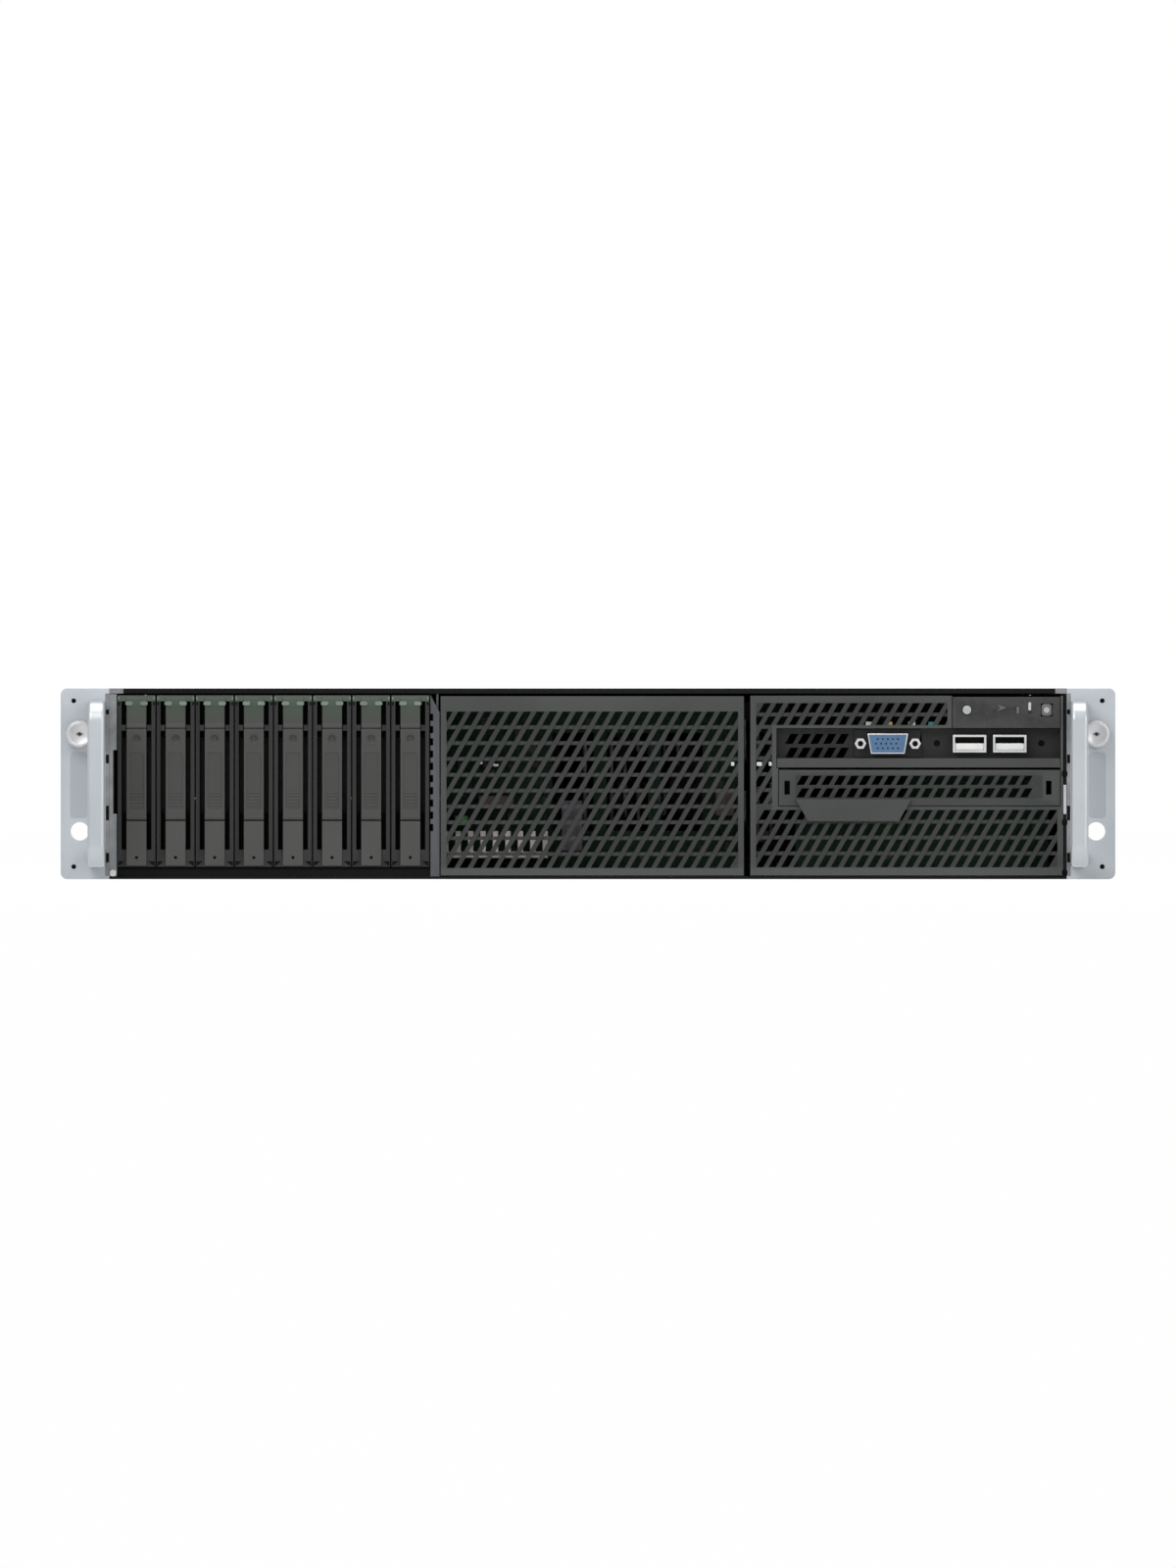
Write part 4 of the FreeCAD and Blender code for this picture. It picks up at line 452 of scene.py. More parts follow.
# The grille paint: painted shade on the mesh bars, and a paler color toward the bottom, between 4 and 7 mm
# up, which is painted light on the bottom frames.
GRILLE_PAINT = painted_shade_zones(
    fading_down(painted_sheet("grille_paint", (0.043, 0.046, 0.044)), (0.06, 0.063, 0.062), 4.0, 7.0),
    MESH_SHARE, CENTER_MESH + RIGHT_MESH)
# The filler paint, with painted shade over its slots.
FILLER_PAINT = painted_shade_zones(painted_sheet("filler_paint", (0.033, 0.035, 0.034)), SLOT_SHARE, FILLER_SLOTS)
CONTROL_PAINT = surface("control_paint", (0.0215, 0.022, 0.0212), 0.5, grain=1600, bump=0.35, mottle=0.3,
                        mottle_size=420, wear=0.3, shine=0.3)
KEY = surface("key_plastic", (0.33, 0.35, 0.35), 0.3, mottle=0.06, mottle_size=120, coat=0.3)
DIM_KEY = surface("dim_key", (0.1, 0.103, 0.1), 0.35, mottle=0.12, mottle_size=200, coat=0.2)
KEY_MARK = surface("key_mark", (0.36, 0.37, 0.36), 0.4, mottle=0.06, mottle_size=200)
VIDEO_BLUE = surface("video_blue", (0.052, 0.113, 0.215), 0.4, mottle=0.06, mottle_size=200)
WHITE_TONGUE = surface("tongue_white", (0.62, 0.63, 0.62), 0.4, mottle=0.04, mottle_size=200)
COMB = surface("comb_plastic", (0.88, 0.82, 0.79), 0.45, mottle=0.08, mottle_size=120)
BOARD = circuit_board("board_green", (0.008, 0.05, 0.018))
DARK_BOARD = circuit_board("board_dark_green", (0.0028, 0.015, 0.005), 0.1, (0.07, 0.075, 0.05))
FAN_PLASTIC = surface("fan_plastic", (0.018, 0.018, 0.018), 0.55, grain=1200, bump=0.25)
SOCKET_PLASTIC = surface("socket_plastic", (0.02, 0.02, 0.021), 0.5, grain=1200)
ALUMINIUM = brushed("aluminium", (0.7, 0.71, 0.72), 0.35, (1, 8, 1))
DUCT = surface("duct_plastic", (0.022, 0.022, 0.024), 0.38, mottle=0.2, mottle_size=10)
SUPPLY_STEEL = surface("supply_steel", (0.36, 0.37, 0.375), 0.45, metallic=0.6, mottle=0.06, mottle_size=80)
DRIVE_METAL = brushed("drive_metal", (0.45, 0.46, 0.47), 0.38, (1, 6, 1))
LATCH = surface("latch_plastic", (0.05, 0.2, 0.07), 0.4, grain=1500, wear=0.3)
GOLD = surface("contact_gold", (0.75, 0.5, 0.16), 0.3, metallic=0.9, mottle=0.05)
TEAL_PART = surface("teal_part", (0.05, 0.3, 0.28), 0.4, mottle=0.08, mottle_size=300)
GREEN_LIGHT = glowing("light_green", (0.25, 0.6, 0.25), 0.3)
AMBER_LIGHT = glowing("light_amber", (0.7, 0.4, 0.08), 0.2)
PALE_WINDOW = surface("window_pale", (0.42, 0.44, 0.42), 0.3, mottle=0.08, mottle_size=200)
DIM_WINDOW = surface("window_dim", (0.09, 0.093, 0.088), 0.3, mottle=0.15, mottle_size=200)
BROWN_PART = surface("brown_part", (0.06, 0.035, 0.03), 0.5, mottle=0.2, mottle_size=200)
PURPLE_PART = surface("purple_part", (0.06, 0.053, 0.066), 0.5, mottle=0.2, mottle_size=200)
GREEN_PART = surface("green_part", (0.03, 0.13, 0.025), 0.5, mottle=0.2, mottle_size=200)


# Rack ears, handles and thumb screws

def ears():
    """Ears with round edges and four small pin holes, with painted shade in the holes, beside the bays and in
    a finger recess.
    """
    pin_x, pin_heights, pin_radius = 235.3, (5.7, 81.6), 1.1
    side_limit = 221.2
    band_inner, band_outer, band_heights = 219.05, 220.9, (1.5, 85.0)
    notch_x, notch_reach = 219.9, 0.7
    notch_heights = ((7.7, 12.0), (26.9, 33.6), (53.0, 57.0), (75.4, 77.6))
    recess_inner, recess_outer, recess_low, recess_high, recess_corner = 229.2, 236.9, 28.0, 58.0, 1.5

    # Faces of the ear's inner side, which get the darker metal as painted shade.
    def shaded_inner_side(centre, normal):
        return abs(centre.x) < side_limit and normal.y > -0.9

    for word, side in SIDES:
        pins = [(side * pin_x, z) for z in pin_heights]
        holes = [cutter(Shape().round(pin, "Y", pin_radius, FRONT_PLANE - 1, FRONT_PLANE + 3, 16))
                 for pin in pins]
        paint(softened(f"rack_ear_{word}", 0.35, 2, holes), EAR_PAINT, (SHADED_METAL, shaded_inner_side))
        # Near-black plugs in the pin holes are painted shade.
        plugs = Shape()
        for pin in pins:
            plugs.round(pin, "Y", pin_radius, FRONT_PLANE + 0.4, FRONT_PLANE + 1.9, 16)
        add(f"ear_hole_shade_{word}", plugs, "chassis", HOLE_SHADE)
        # A band of darker metal beside the bays is painted shade.
        low, high = sorted((side * band_inner, side * band_outer))
        band = Shape().block((low, high), front_skin(0.15, 0.3), band_heights)
        add(f"ear_shade_band_{word}", band, "chassis", SHADED_METAL, 0.1)
        # Near-black notches beside the bays are painted shade.
        notches = Shape()
        for heights in notch_heights:
            notches.block((side * notch_x - notch_reach, side * notch_x + notch_reach), front_skin(0.2, 0.0),
                          heights)
        add(f"ear_notch_shade_{word}", notches, "chassis", HOLE_SHADE)
        # A flat patch of painted shade and reflection stands for the shallow finger recess.
        low, high = sorted((side * recess_inner, side * recess_outer))
        recess_patch = Shape().prism(rounded(low, high, recess_low, recess_high, recess_corner), "Y", *front_skin(0.12, 0.2))
        add(f"ear_recess_shade_{word}", recess_patch, "chassis", EAR_RECESS_SHADE, 0.1)
    corner_marks()


def corner_marks():
    """The bright bare corner at the lower left, and notches of painted shade beside the right ear."""
    corner = Shape().prism(rounded(-218.7, -216.0, 1.3, 4.2, 0.9), "Y", *front_skin(0.3, 0.1))
    add("bright_corner", corner, "chassis", NICKEL, 0.1)
    # Near-black notches are painted shade.
    notches = Shape()
    for low, high in ((1.6, 4.4), (24.6, 27.4), (46.8, 49.6)):
        notches.prism(rounded(216.9, 219.4, low, high, 0.8), "Y", *front_skin(0.25, 0.1))
    add("side_notch_shade", notches, "chassis", HOLE_SHADE)


def handles():
    """Handles with well rounded bars."""
    for word in ("left", "right"):
        paint(softened(f"handle_{word}", 1.6, 4), HANDLE_METAL)


def thumb_screws():
    """Knurled heads with a dished face on their shanks, and a dim cross of painted shade for the cross
    recess.
    """
    ridges, ridge_depth = 72, 0.35
    cross_arms = ((1.5, 0.4), (0.4, 0.9))
    back = FRONT_PLANE - 0.3
    for word, side in SIDES:
        low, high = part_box(f"thumb_screw_{word}")
        tip, end = low.y / MM, high.y / MM
        centre = (side * SCREW_X, SCREW_Z)
        head = Shape().turned(centre, "Y", [
            (0.9, tip + 1.1), (1.2, tip + 0.62), (4.6, tip + 0.42), (5.2, tip + 0.05), (5.8, tip + 0.15),
            (6.3, tip + 0.8), (6.45, tip + 1.2), (6.45, back - 2.2), (5.6, back - 1.8), (5.6, back - 1.0),
            (6.2, back - 0.8), (6.2, back)], ridges, ridge_depth)
        head.turned(centre, "Y", [(2.9, back - 0.5), (2.9, end - 2), (2.0, end)], 24)
        piece = add(f"knurled_screw_{word}", head, f"thumb_screw_{word}", SCREW_METAL)
        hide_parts(f"thumb_screw_{word}")
        # A dim cross laid on the dish is painted shade for the cross recess.
        cross = Shape()
        for x, z in cross_arms:
            cross.block((centre[0] - x, centre[0] + x), (tip + 0.5, tip + 2.0), (SCREW_Z - z, SCREW_Z + z))
        add(f"screw_cross_shade_{word}", cross, f"thumb_screw_{word}", DIM_KEY)


# Drive carriers

def drive_x(number):
    """The middle of a carrier."""
    return FIRST_DRIVE_X + (number - 1) * DRIVE_PITCH


def carrier(number):
    """Carrier with round edges, a channel in painted shade and a bare drive case, and the small pieces on it.
    """
    name = f"drive_carrier_{number}"
    x = drive_x(number)
    case_start, case_low, case_high = FRONT_PLANE + 7.5, 9.8, 79.9

    # The channel's faces get near-black as painted shade.
    def shaded_channel(centre, normal):
        return abs(centre.x - x) < 6.9 and CARRIER_FRONT + 0.35 < centre.y < FRONT_PLANE + 4.5

    def foot(centre, normal):
        return abs(centre.x - x) < 4.6 and centre.y < CARRIER_FRONT - 0.2

    def drive_case(centre, normal):
        return centre.y > case_start and case_low < centre.z < case_high and normal.y > -0.9

    paint(softened(name, 0.3), CARRIER, (HOLE_SHADE, shaded_channel), (DRIVE_METAL, drive_case), (LEVER, foot))
    light_pipes(number)
    carrier_shade_marks(number)
    cap = Shape().block((x - 8.55, x + 8.55), (CARRIER_FRONT - 0.12, CARRIER_FRONT + 0.6), (81.4, 84.0))
    add(f"carrier_cap_{number}", cap, name, BUTTON, 0.1)
    tabs = Shape()
    for side in (-1, 1):
        middle = x + side * 8.1
        tabs.block((middle - 0.35, middle + 0.35), (CARRIER_FRONT - 0.2, CARRIER_FRONT + 0.5), (82.2, 83.4))
    add(f"carrier_tabs_{number}", tabs, name, LIGHT_PIPE, 0.1)
    screws = Shape()
    for y in (FRONT_PLANE + 20, FRONT_PLANE + 96):
        for z in (7.6, 82.1):
            screws.turned((y, z), "X", [(1.9, x + 7.8), (1.9, x + 8.1), (1.2, x + 8.4)], 20)
    add(f"drive_screws_{number}", screws, name, NICKEL)


def light_pipes(number):
    """The two pale light windows at the top of a release button."""
    half_width, low, high, corner = 1.7, 79.5, 81.3, 0.7
    pipes = Shape()
    for side in (-1, 1):
        middle = drive_x(number) + side * 3.4
        pipes.prism(rounded(middle - half_width, middle + half_width, low, high, corner), "Y",
                    STRIP_FRONT - 0.15, STRIP_FRONT + 1)
    add(f"light_pipes_{number}", pipes, f"release_button_{number}", LIGHT_PIPE, 0.15)


def carrier_shade_marks(number):
    """Painted shade in the pin hole of the foot, and in the corners at the bottom and the top of a carrier.
    """
    x = drive_x(number)
    start = CARRIER_FRONT - 0.04
    corner_low, corner_high, stop_half = 5.9, 8.2, 0.4
    marks = Shape().round((x, 9.9), "Y", 0.75, STRIP_FRONT - 0.04, STRIP_FRONT + 0.5, 16)
    for side in (-1, 1):
        inner, outer, stop = x + side * 5.4, x + side * 8.3, x + side * 8.0
        marks.prism([(inner, corner_high), (outer, corner_high), (outer, corner_low)], "Y",
                    start, CARRIER_FRONT + 0.5)
        marks.block((stop - stop_half, stop + stop_half), (start, CARRIER_FRONT + 0.4), (79.6, 81.0))
    add(f"carrier_shade_marks_{number}", marks, f"drive_carrier_{number}", HOLE_SHADE)


def lever(number):
    """Lever strip with its long shallow panel, dimple and grip ribs."""
    x = drive_x(number)
    name = f"carrier_lever_{number}"
    dimple_z, panel_low, panel_high, panel_corner = 64.3, 31.5, 58.0, 1.2
    rib_count, first_rib, rib_step, rib_tall = 5, 33.5, 1.5, 0.6
    dimple = cutter(Shape().turned((x, dimple_z), "Y", [
        (1.9, STRIP_FRONT - 0.5), (1.9, STRIP_FRONT), (0.9, STRIP_FRONT + 1.1)], 24))
    panel = cutter(Shape().prism(rounded(x - 3.3, x + 3.3, panel_low, panel_high, panel_corner), "Y",
                                 STRIP_FRONT - 0.5, STRIP_FRONT + 0.35))
    paint(softened(name, 0.35, 2, [dimple, panel]), LEVER)
    ribs = Shape()
    for step in range(rib_count):
        z = first_rib + step * rib_step
        ribs.block((x - 2.6, x + 2.6), (STRIP_FRONT + 0.05, STRIP_FRONT + 0.5), (z, z + rib_tall))
    add(f"lever_ribs_{number}", ribs, name, LEVER, 0.15)


def button(number):
    """Release button with round edges."""
    paint(softened(f"release_button_{number}", 0.3), BUTTON)


def drive_bay():
    """The cage with its windowed column, the board behind it, and all carriers."""
    column_left = -72.3
    plug_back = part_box("drive_backplane")[1].y / MM - 2.2

    def column(centre, normal):
        return centre.x > column_left and centre.y < FRONT_PLANE + 2 and normal.y < -0.5

    def plug(centre, normal):
        return centre.y < plug_back

    paint(softened("drive_cage", 0.15), BLACK_PAINT, (COLUMN_PAINT, column))
    paint_node("drive_backplane", DARK_BOARD, (SOCKET_PLASTIC, plug))
    for number in range(1, DRIVES + 1):
        carrier(number)
        lever(number)
        button(number)


# Bay panels and ports

def panels():
    """The perforated panels, the plates, the filler and the front cover."""
    ledge_top, screw_places, screw_z, screw_radius = 56, (159.7, 207.5), 62.2, 1.5

    def behind_lip(centre, normal):
        return centre.y > FRONT_PLANE + 6

    def ledge(centre, normal):
        return centre.y < FRONT_PLANE + 5.5 and centre.z < ledge_top

    paint_node("center_bay_grille", GRILLE_PAINT)
    paint_node("right_bay_grille", GRILLE_PAINT)
    paint(softened("control_panel", 0.3), CONTROL_PAINT)
    paint(softened("optical_bay_filler", 0.25), FILLER_PAINT)
    paint(softened("drive_bay_cover", 0.2), BLACK_PAINT, (ZINC, behind_lip))
    paint_node("front_io_panel", BAY_PAINT, (PANEL, ledge))
    # Near-black discs in the screw holes are painted shade.
    holes = Shape()
    for x in screw_places:
        holes.turned((x, screw_z), "Y", [
            (screw_radius, PORT_PLATE - 0.05), (screw_radius, PORT_PLATE + 0.3)], 20)
    add("io_screw_holes", holes, "chassis", HOLE_SHADE)


def buttons():
    """Power key with a pale ring, identification key, and the three light windows left of the power key."""
    power_x, key_z, ring_inner, ring_outer = 209.9, 77.4, 1.0, 1.35
    paint(softened("power_button", 0.4, 3), DIM_KEY)
    paint(softened("id_button", 0.35, 3), KEY)
    mark = Shape().turned((power_x, key_z), "Y", [
        (ring_inner, FRONT_PLANE - 1.22), (ring_outer, FRONT_PLANE - 1.26), (ring_outer, FRONT_PLANE - 1.1),
        (ring_inner, FRONT_PLANE - 1.1)], 32)
    add("power_mark", mark, "power_button", KEY_MARK)
    upright = rounded(196.05, 197.35, 75.8, 79.0, 0.3)
    raised = rounded(201.5, 202.75, 77.2, 80.9, 0.4)
    wedge = [(187.4, 76.9), (191.4, 78.4), (187.4, 79.9), (188.6, 78.4)]
    windows = ((upright, 0.4, DIM_WINDOW), (raised, 0.75, PALE_WINDOW), (wedge, 0.75, DIM_WINDOW))
    for number, (outline, proud, material) in enumerate(windows, start=1):
        window = Shape().prism(outline, "Y", FRONT_PLANE - proud, FRONT_PLANE)
        add(f"light_window_{number}", window, "chassis", material, 0.05)


def contact_rows(x, z, low, high):
    """Fifteen round contacts in three rows round a place, the middle row shifted to the left."""
    return Shape().grid((x - 4.6, z - 2.1), (5, 3), (2.3, 2.1), -0.8, 0.42, low, high)


def tapered(x, z, half_bottom, half_top, half_height):
    """The outline of a video socket round a place, wider at its top or at its bottom."""
    low, high = z - half_height, z + half_height
    return [(x - half_bottom, low), (x + half_bottom, low), (x + half_top, high), (x - half_top, high)]


def video_port():
    """Nickel shell round a blue insulator with three rows of contact holes, and two threaded nuts; holes and
    threads hold painted shade.
    """
    x, z = 137.2, 62.0
    half_bottom, half_top, half_height, nut_reach, thread = 7.4, 8.8, 4.15, 12.5, 1.3
    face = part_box("vga_port")[0].y / MM

    def flange(centre, normal):
        return centre.y > PORT_PLATE - 0.9

    paint(softened("vga_port", 0.2), NICKEL, (BAY_PAINT, flange))
    outline = tapered(x, z, half_bottom, half_top, half_height)
    insulator = Shape().prism(outline, "Y", face - 0.12, face + 0.5)
    add("video_insulator", insulator, "chassis", VIDEO_BLUE, 0.3)
    # The contact holes are near-black painted shade.
    contacts = contact_rows(x, z, face - 0.16, face + 0.1)
    add("video_contacts", contacts, "chassis", HOLE_SHADE)
    # Near-black discs in the nuts' threads are painted shade.
    threads = Shape()
    for side in (-1, 1):
        threads.round((x + side * nut_reach, z), "Y", thread, face + 0.68, face + 1.0, 18)
    add("video_nut_threads", threads, "chassis", HOLE_SHADE)


def video_board():
    """The small board on top of the port plate, with four small parts that show through the mesh."""
    top, half_width, tall = 69.5, 1.6, 2.6
    board = Shape().block((124, 162), (FRONT_PLANE + 5.5, FRONT_PLANE + 14.5), (top - 0.6, top))
    add("video_board", board, "chassis", DARK_BOARD, 0.1)
    parts = ((128.8, COMB), (137.8, GOLD), (148.2, COMB), (157.4, TEAL_PART))
    for number, (x, material) in enumerate(parts, start=1):
        part = Shape().block((x - half_width, x + half_width), (FRONT_PLANE + 5.8, FRONT_PLANE + 8.0),
                             (top, top + tall))
        add(f"board_part_{number}", part, "chassis", material, 0.2)


def usb_ports():
    """Shells that are dark inside, with a pale tongue and four gold contacts each."""
    places = (174.6, 193.0)
    half_tongue, half_contact, contact_count, contact_step = 6.6, 0.6, 4, 2.8
    low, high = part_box("usb_ports")
    start, end = low.y / MM, high.y / MM
    shell_low, shell_high = low.z / MM, high.z / MM
    bottom = shell_low + 1.0

    def tongue(centre, normal):
        in_reach = start + 0.9 < centre.y < end - 1.2 and centre.z < bottom + 2.3
        return in_reach and (normal.z > 0.9 or normal.y < -0.9)

    def inside_shell(centre, normal):
        return start + 0.5 < centre.y < end - 0.2 and shell_low + 0.4 < centre.z < shell_high - 0.4

    paint(softened("usb_ports", 0.12), NICKEL, (SOCKET_PLASTIC, inside_shell), (WHITE_TONGUE, tongue))
    tongues, contacts = Shape(), Shape()
    for x in places:
        tongues.block((x - half_tongue, x + half_tongue), (start + 0.9, start + 9),
                      (bottom - 0.05, bottom + 3.2))
        for column in range(contact_count):
            centre = x - 4.2 + column * contact_step
            contacts.block((centre - half_contact, centre + half_contact), (start + 1.6, start + 9),
                           (bottom + 3.1, bottom + 3.3))
    add("usb_tongues", tongues, "chassis", WHITE_TONGUE, 0.2)
    add("usb_contacts", contacts, "chassis", GOLD)


def bright_clips():
    """Small bright spring clips that hold the two panels beside the gap."""
    low, high, corner = 51.8, 53.6, 0.5
    clips = Shape()
    for x, width in ((66.2, 1.6), (78.4, 2.4), (83.4, 1.4)):
        clips.prism(rounded(x - width / 2, x + width / 2, low, high, corner), "Y", *front_skin(0.15, 2.4))
    add("panel_clips", clips, "chassis", NICKEL, 0.2)


# Inside

def inside():
    """Boards, fans, heatsinks and duct, and the small parts that show through the mesh."""
    board_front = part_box("power_board")[1].y / MM - 1.8
    socket_low, contact_high = 10.2, 7.9
    card_places, card_top = (-90.0, 56.0), 60

    def comb(centre, normal):
        return centre.y < board_front

    def board_socket(centre, normal):
        return centre.z > socket_low

    def board_contact(centre, normal):
        return centre.z < contact_high

    def riser_card(centre, normal):
        return centre.z < card_top and any(abs(centre.x - x) < 1.1 for x in card_places)

    paint_node("power_board", DARK_BOARD, (COMB, comb))
    paint_node("fan_frames", FAN_PLASTIC)
    for number in range(1, FANS + 1):
        paint_node(f"fan_rotor_{number}", FAN_PLASTIC)
    paint_node("motherboard", BOARD, (SOCKET_PLASTIC, board_socket), (GOLD, board_contact))
    paint_node("memory_modules", BOARD)
    paint_node("processor_heatsinks", ALUMINIUM)
    paint_node("air_duct", DUCT)
    paint_node("riser_cages", ZINC, (BOARD, riser_card))
    face = board_front + 0.2
    board_parts(face)
    board_details(face)
    bay_cards()


def board_parts(face):
    """Dark small parts in rows on the board behind the centre mesh, and the rim of its connector."""
    parts = Shape()
    for column in range(4):
        for row in range(4):
            x = -60 + column * 11.5 + (row % 2) * 3
            z = 27 + row * 12
            size = 2.2 + (column * 7 + row * 5) % 3
            parts.block((x, x + size), (face - 1.2, face), (z, z + size * 0.8))
    add("board_parts", parts, "chassis", SOCKET_PLASTIC, 0.15)
    rim = Shape().block((-64.5, -18.6), (FRONT_PLANE + 3.2, face - 0.2), (10.1, 11.3))
    add("connector_rim", rim, "chassis", COMB, 0.15)


def board_details(face):
    """Colored small parts on the board behind the centre mesh: left, right, low and high of each."""
    for name, material, left, right, low, high in (
            ("board_relay", GREEN_PART, -61.0, -55.0, 24.6, 29.0),
            ("board_coil", BROWN_PART, -50.0, -34.0, 32.5, 38.0),
            ("board_stack", PURPLE_PART, -12.0, -2.6, 13.0, 36.0),
            ("board_choke", BROWN_PART, 58.5, 67.0, 29.0, 41.0),
            ("board_clip_1", COMB, -50.6, -48.4, 52.6, 53.8),
            ("board_clip_2", COMB, -43.4, -41.0, 51.6, 52.8),
            ("board_clip_3", LIGHT_PIPE, 55.4, 58.6, 25.6, 27.0),
            ("board_clip_4", LIGHT_PIPE, 29.4, 31.2, 54.0, 55.2)):
        part = Shape().block((left, right), (FRONT_PLANE + 8.0, face), (low, high))
        add(name, part, "chassis", material, 0.2)


def bay_cards():
    """A board on the tray of the filler, and two cards on the floor behind the right panel."""
    thick = 1.6
    tray, floor = FRONT_PLANE + 20, FRONT_PLANE + 24
    board = Shape().block((147, 209), (tray, tray + thick), (35.1, 48.3))
    add("filler_board", board, "optical_bay_filler", DARK_BOARD, 0.1)
    for number, (left, right, high) in enumerate(((95, 145.6, 25.5), (146, 211, 32.4)), start=1):
        card = Shape().block((left, right), (floor, floor + thick), (1.2, high))
        add(f"bay_card_{number}", card, "chassis", DARK_BOARD, 0.1)


# Casing

def machine_screw(shape, centre, axis, face, out, radius):
    """A low round screw head with a round recess in its top; out is 1 or -1, the way that it points."""
    shape.turned(centre, axis, [(radius, face), (radius, face + out * 0.5), (radius * 0.7, face + out * 0.8),
                                (radius * 0.4, face + out * 0.8), (radius * 0.3, face + out * 0.3)], 24)


def casing():
    """Pan with blind vents in its rear wall, their bottoms in painted shade, covers, and what is fixed to
    them.
    """
    depth = 1.0
    vents = Shape().grid((-34, 10.0), (20, 5), (6.0, 5.2), 3.0, 1.9, REAR_PLANE - depth, REAR_PLANE + 0.4, 6)

    def front_edge(centre, normal):
        return centre.y < FRONT_PLANE + 0.2

    # The bottoms of the blind vents get near-black as painted shade.
    def vent_bottom_shade(centre, normal):
        return normal.y > 0.9 and abs(centre.y - REAR_PLANE + depth) < 0.1

    pan = softened("chassis_pan", 0.2, 2, [cutter(vents)])
    paint(pan, ZINC, (BLACK_PAINT, front_edge), (HOLE_SHADE, vent_bottom_shade))
    spring_fingers()
    front_edges()
    paint(softened("system_cover", 0.2), ZINC_COVER)
    side_screws()
    grip_ribs()


def spring_fingers():
    """Two rows of contact fingers on the shelf between the two supplies."""
    first, step, width = 143.0, 4.1, 4.05
    depth = (REAR_PLANE - 180, REAR_PLANE - 168)
    fingers = Shape()
    for number in range(18):
        x = first + number * step
        for low, high in ((41.1, 41.37), (39.63, 39.9)):
            fingers.block((x, x + width), depth, (SUPPLY_LOW + low, SUPPLY_LOW + high))
    add("bay_spring_fingers", fingers, "chassis", NICKEL)


def front_edges():
    """Gray front edges of the pan and of the cover lip, in darker metal as painted shade, and the contact
    spring beside the right panel.
    """
    # The pan's front edges get the darker metal as painted shade.
    lip = Shape()
    for right, low, high in ((-215.6, 1.4, 29.9), (-215.6, 59.1, 84.6), (-217.3, 29.9, 59.1)):
        lip.block((-HALF_WIDTH, right), front_skin(0.15, 0.0), (low, high))
    add("pan_lip_shade", lip, "chassis", SHADED_METAL)
    # The two ends of the cover lip get the darker metal as painted shade.
    ends = Shape()
    for left, right in ((-218.9, -212.6), (213.8, 218.9)):
        ends.block((left, right), front_skin(0.12, 0.2), (84.9, 87.2))
    add("cover_lip_ends", ends, "chassis", SHADED_METAL, 0.1)
    spring = Shape().prism(rounded(217.55, 218.85, 29.8, 43.2, 0.4), "Y", *front_skin(0.3, 0.1))
    add("side_contact_spring", spring, "chassis", NICKEL, 0.1)


def side_screws():
    """Screws that hold the ears, and smaller ones along the sides of the pan."""
    metal_in_painted_shade, ear_screw, pan_screw = 221.0, 3.0, 2.4
    screws = Shape()
    for side in (-1, 1):
        for y in (FRONT_PLANE + 14, FRONT_PLANE + 50):
            for z in (24, 63):
                machine_screw(screws, (y, z), "X", side * metal_in_painted_shade, side, ear_screw)
        for y in (FRONT_PLANE + 200, FRONT_PLANE + 420, FRONT_PLANE + 690):
            for z in (78, 8):
                machine_screw(screws, (y, z), "X", side * HALF_WIDTH, side, pan_screw)
    add("side_screws", screws, "chassis", NICKEL)


def grip_ribs():
    """Ribs in the two finger recesses of the system cover."""
    middle, half_width, first, rib_step, width = 110, 34, FRONT_PLANE + 178.5, 4.2, 1.2
    ribs = Shape()
    for side in (-1, 1):
        for number in range(5):
            y = first + number * rib_step
            ribs.block((side * middle - half_width, side * middle + half_width), (y, y + width),
                       (86.7, 87.15))
    add("grip_ribs", ribs, "system_cover", ZINC_COVER, 0.2)


# Rear

def rear():
    """Both supplies and the rear sockets."""
    for number in (1, 2):
        supply(number)
    rear_sockets()


def supply(number):
    """A supply with its latch, inlet blades, fan guard and lamp."""
    name = f"power_supply_{number}"
    low_z = SUPPLY_LOW + (number - 1) * SUPPLY_STEP
    inlet_left, inlet_right = 144.5, 172.5
    blade_z, blade_half = low_z + 25.8, 1.2
    fan_centre, wire = (191.1, low_z + 19.8), 0.7

    def inlet(centre, normal):
        return inlet_left < centre.x < inlet_right and REAR_PLANE - 16.5 < centre.y < REAR_PLANE - 0.3

    def handle_bar(centre, normal):
        return centre.y > REAR_PLANE + 0.2

    paint(softened(name, 0.25), SUPPLY_STEEL, (SOCKET_PLASTIC, inlet), (BLACK_PAINT, handle_bar))
    paint(softened(f"psu_latch_{number}", 0.4), LATCH)
    blades = Shape()
    for x, z in ((151.5, blade_z - 3), (165.5, blade_z - 3), (158.5, blade_z + 3)):
        blades.block((x - blade_half, x + blade_half), (REAR_PLANE - 16, REAR_PLANE - 3), (z - 3, z + 3))
    add(f"inlet_blades_{number}", blades, name, NICKEL, 0.3)
    guard = Shape()
    for radius in (6.0, 10.5, 15.0):
        wire_ring(guard, fan_centre, radius, wire, REAR_PLANE - 0.9)
    add(f"fan_guard_{number}", guard, name, NICKEL)
    window = Shape().round((176.0, low_z + 36.0), "Y", 1.4, REAR_PLANE - 0.5, REAR_PLANE + 0.4, 20)
    add(f"supply_lamp_{number}", window, name, GREEN_LIGHT, 0.2)


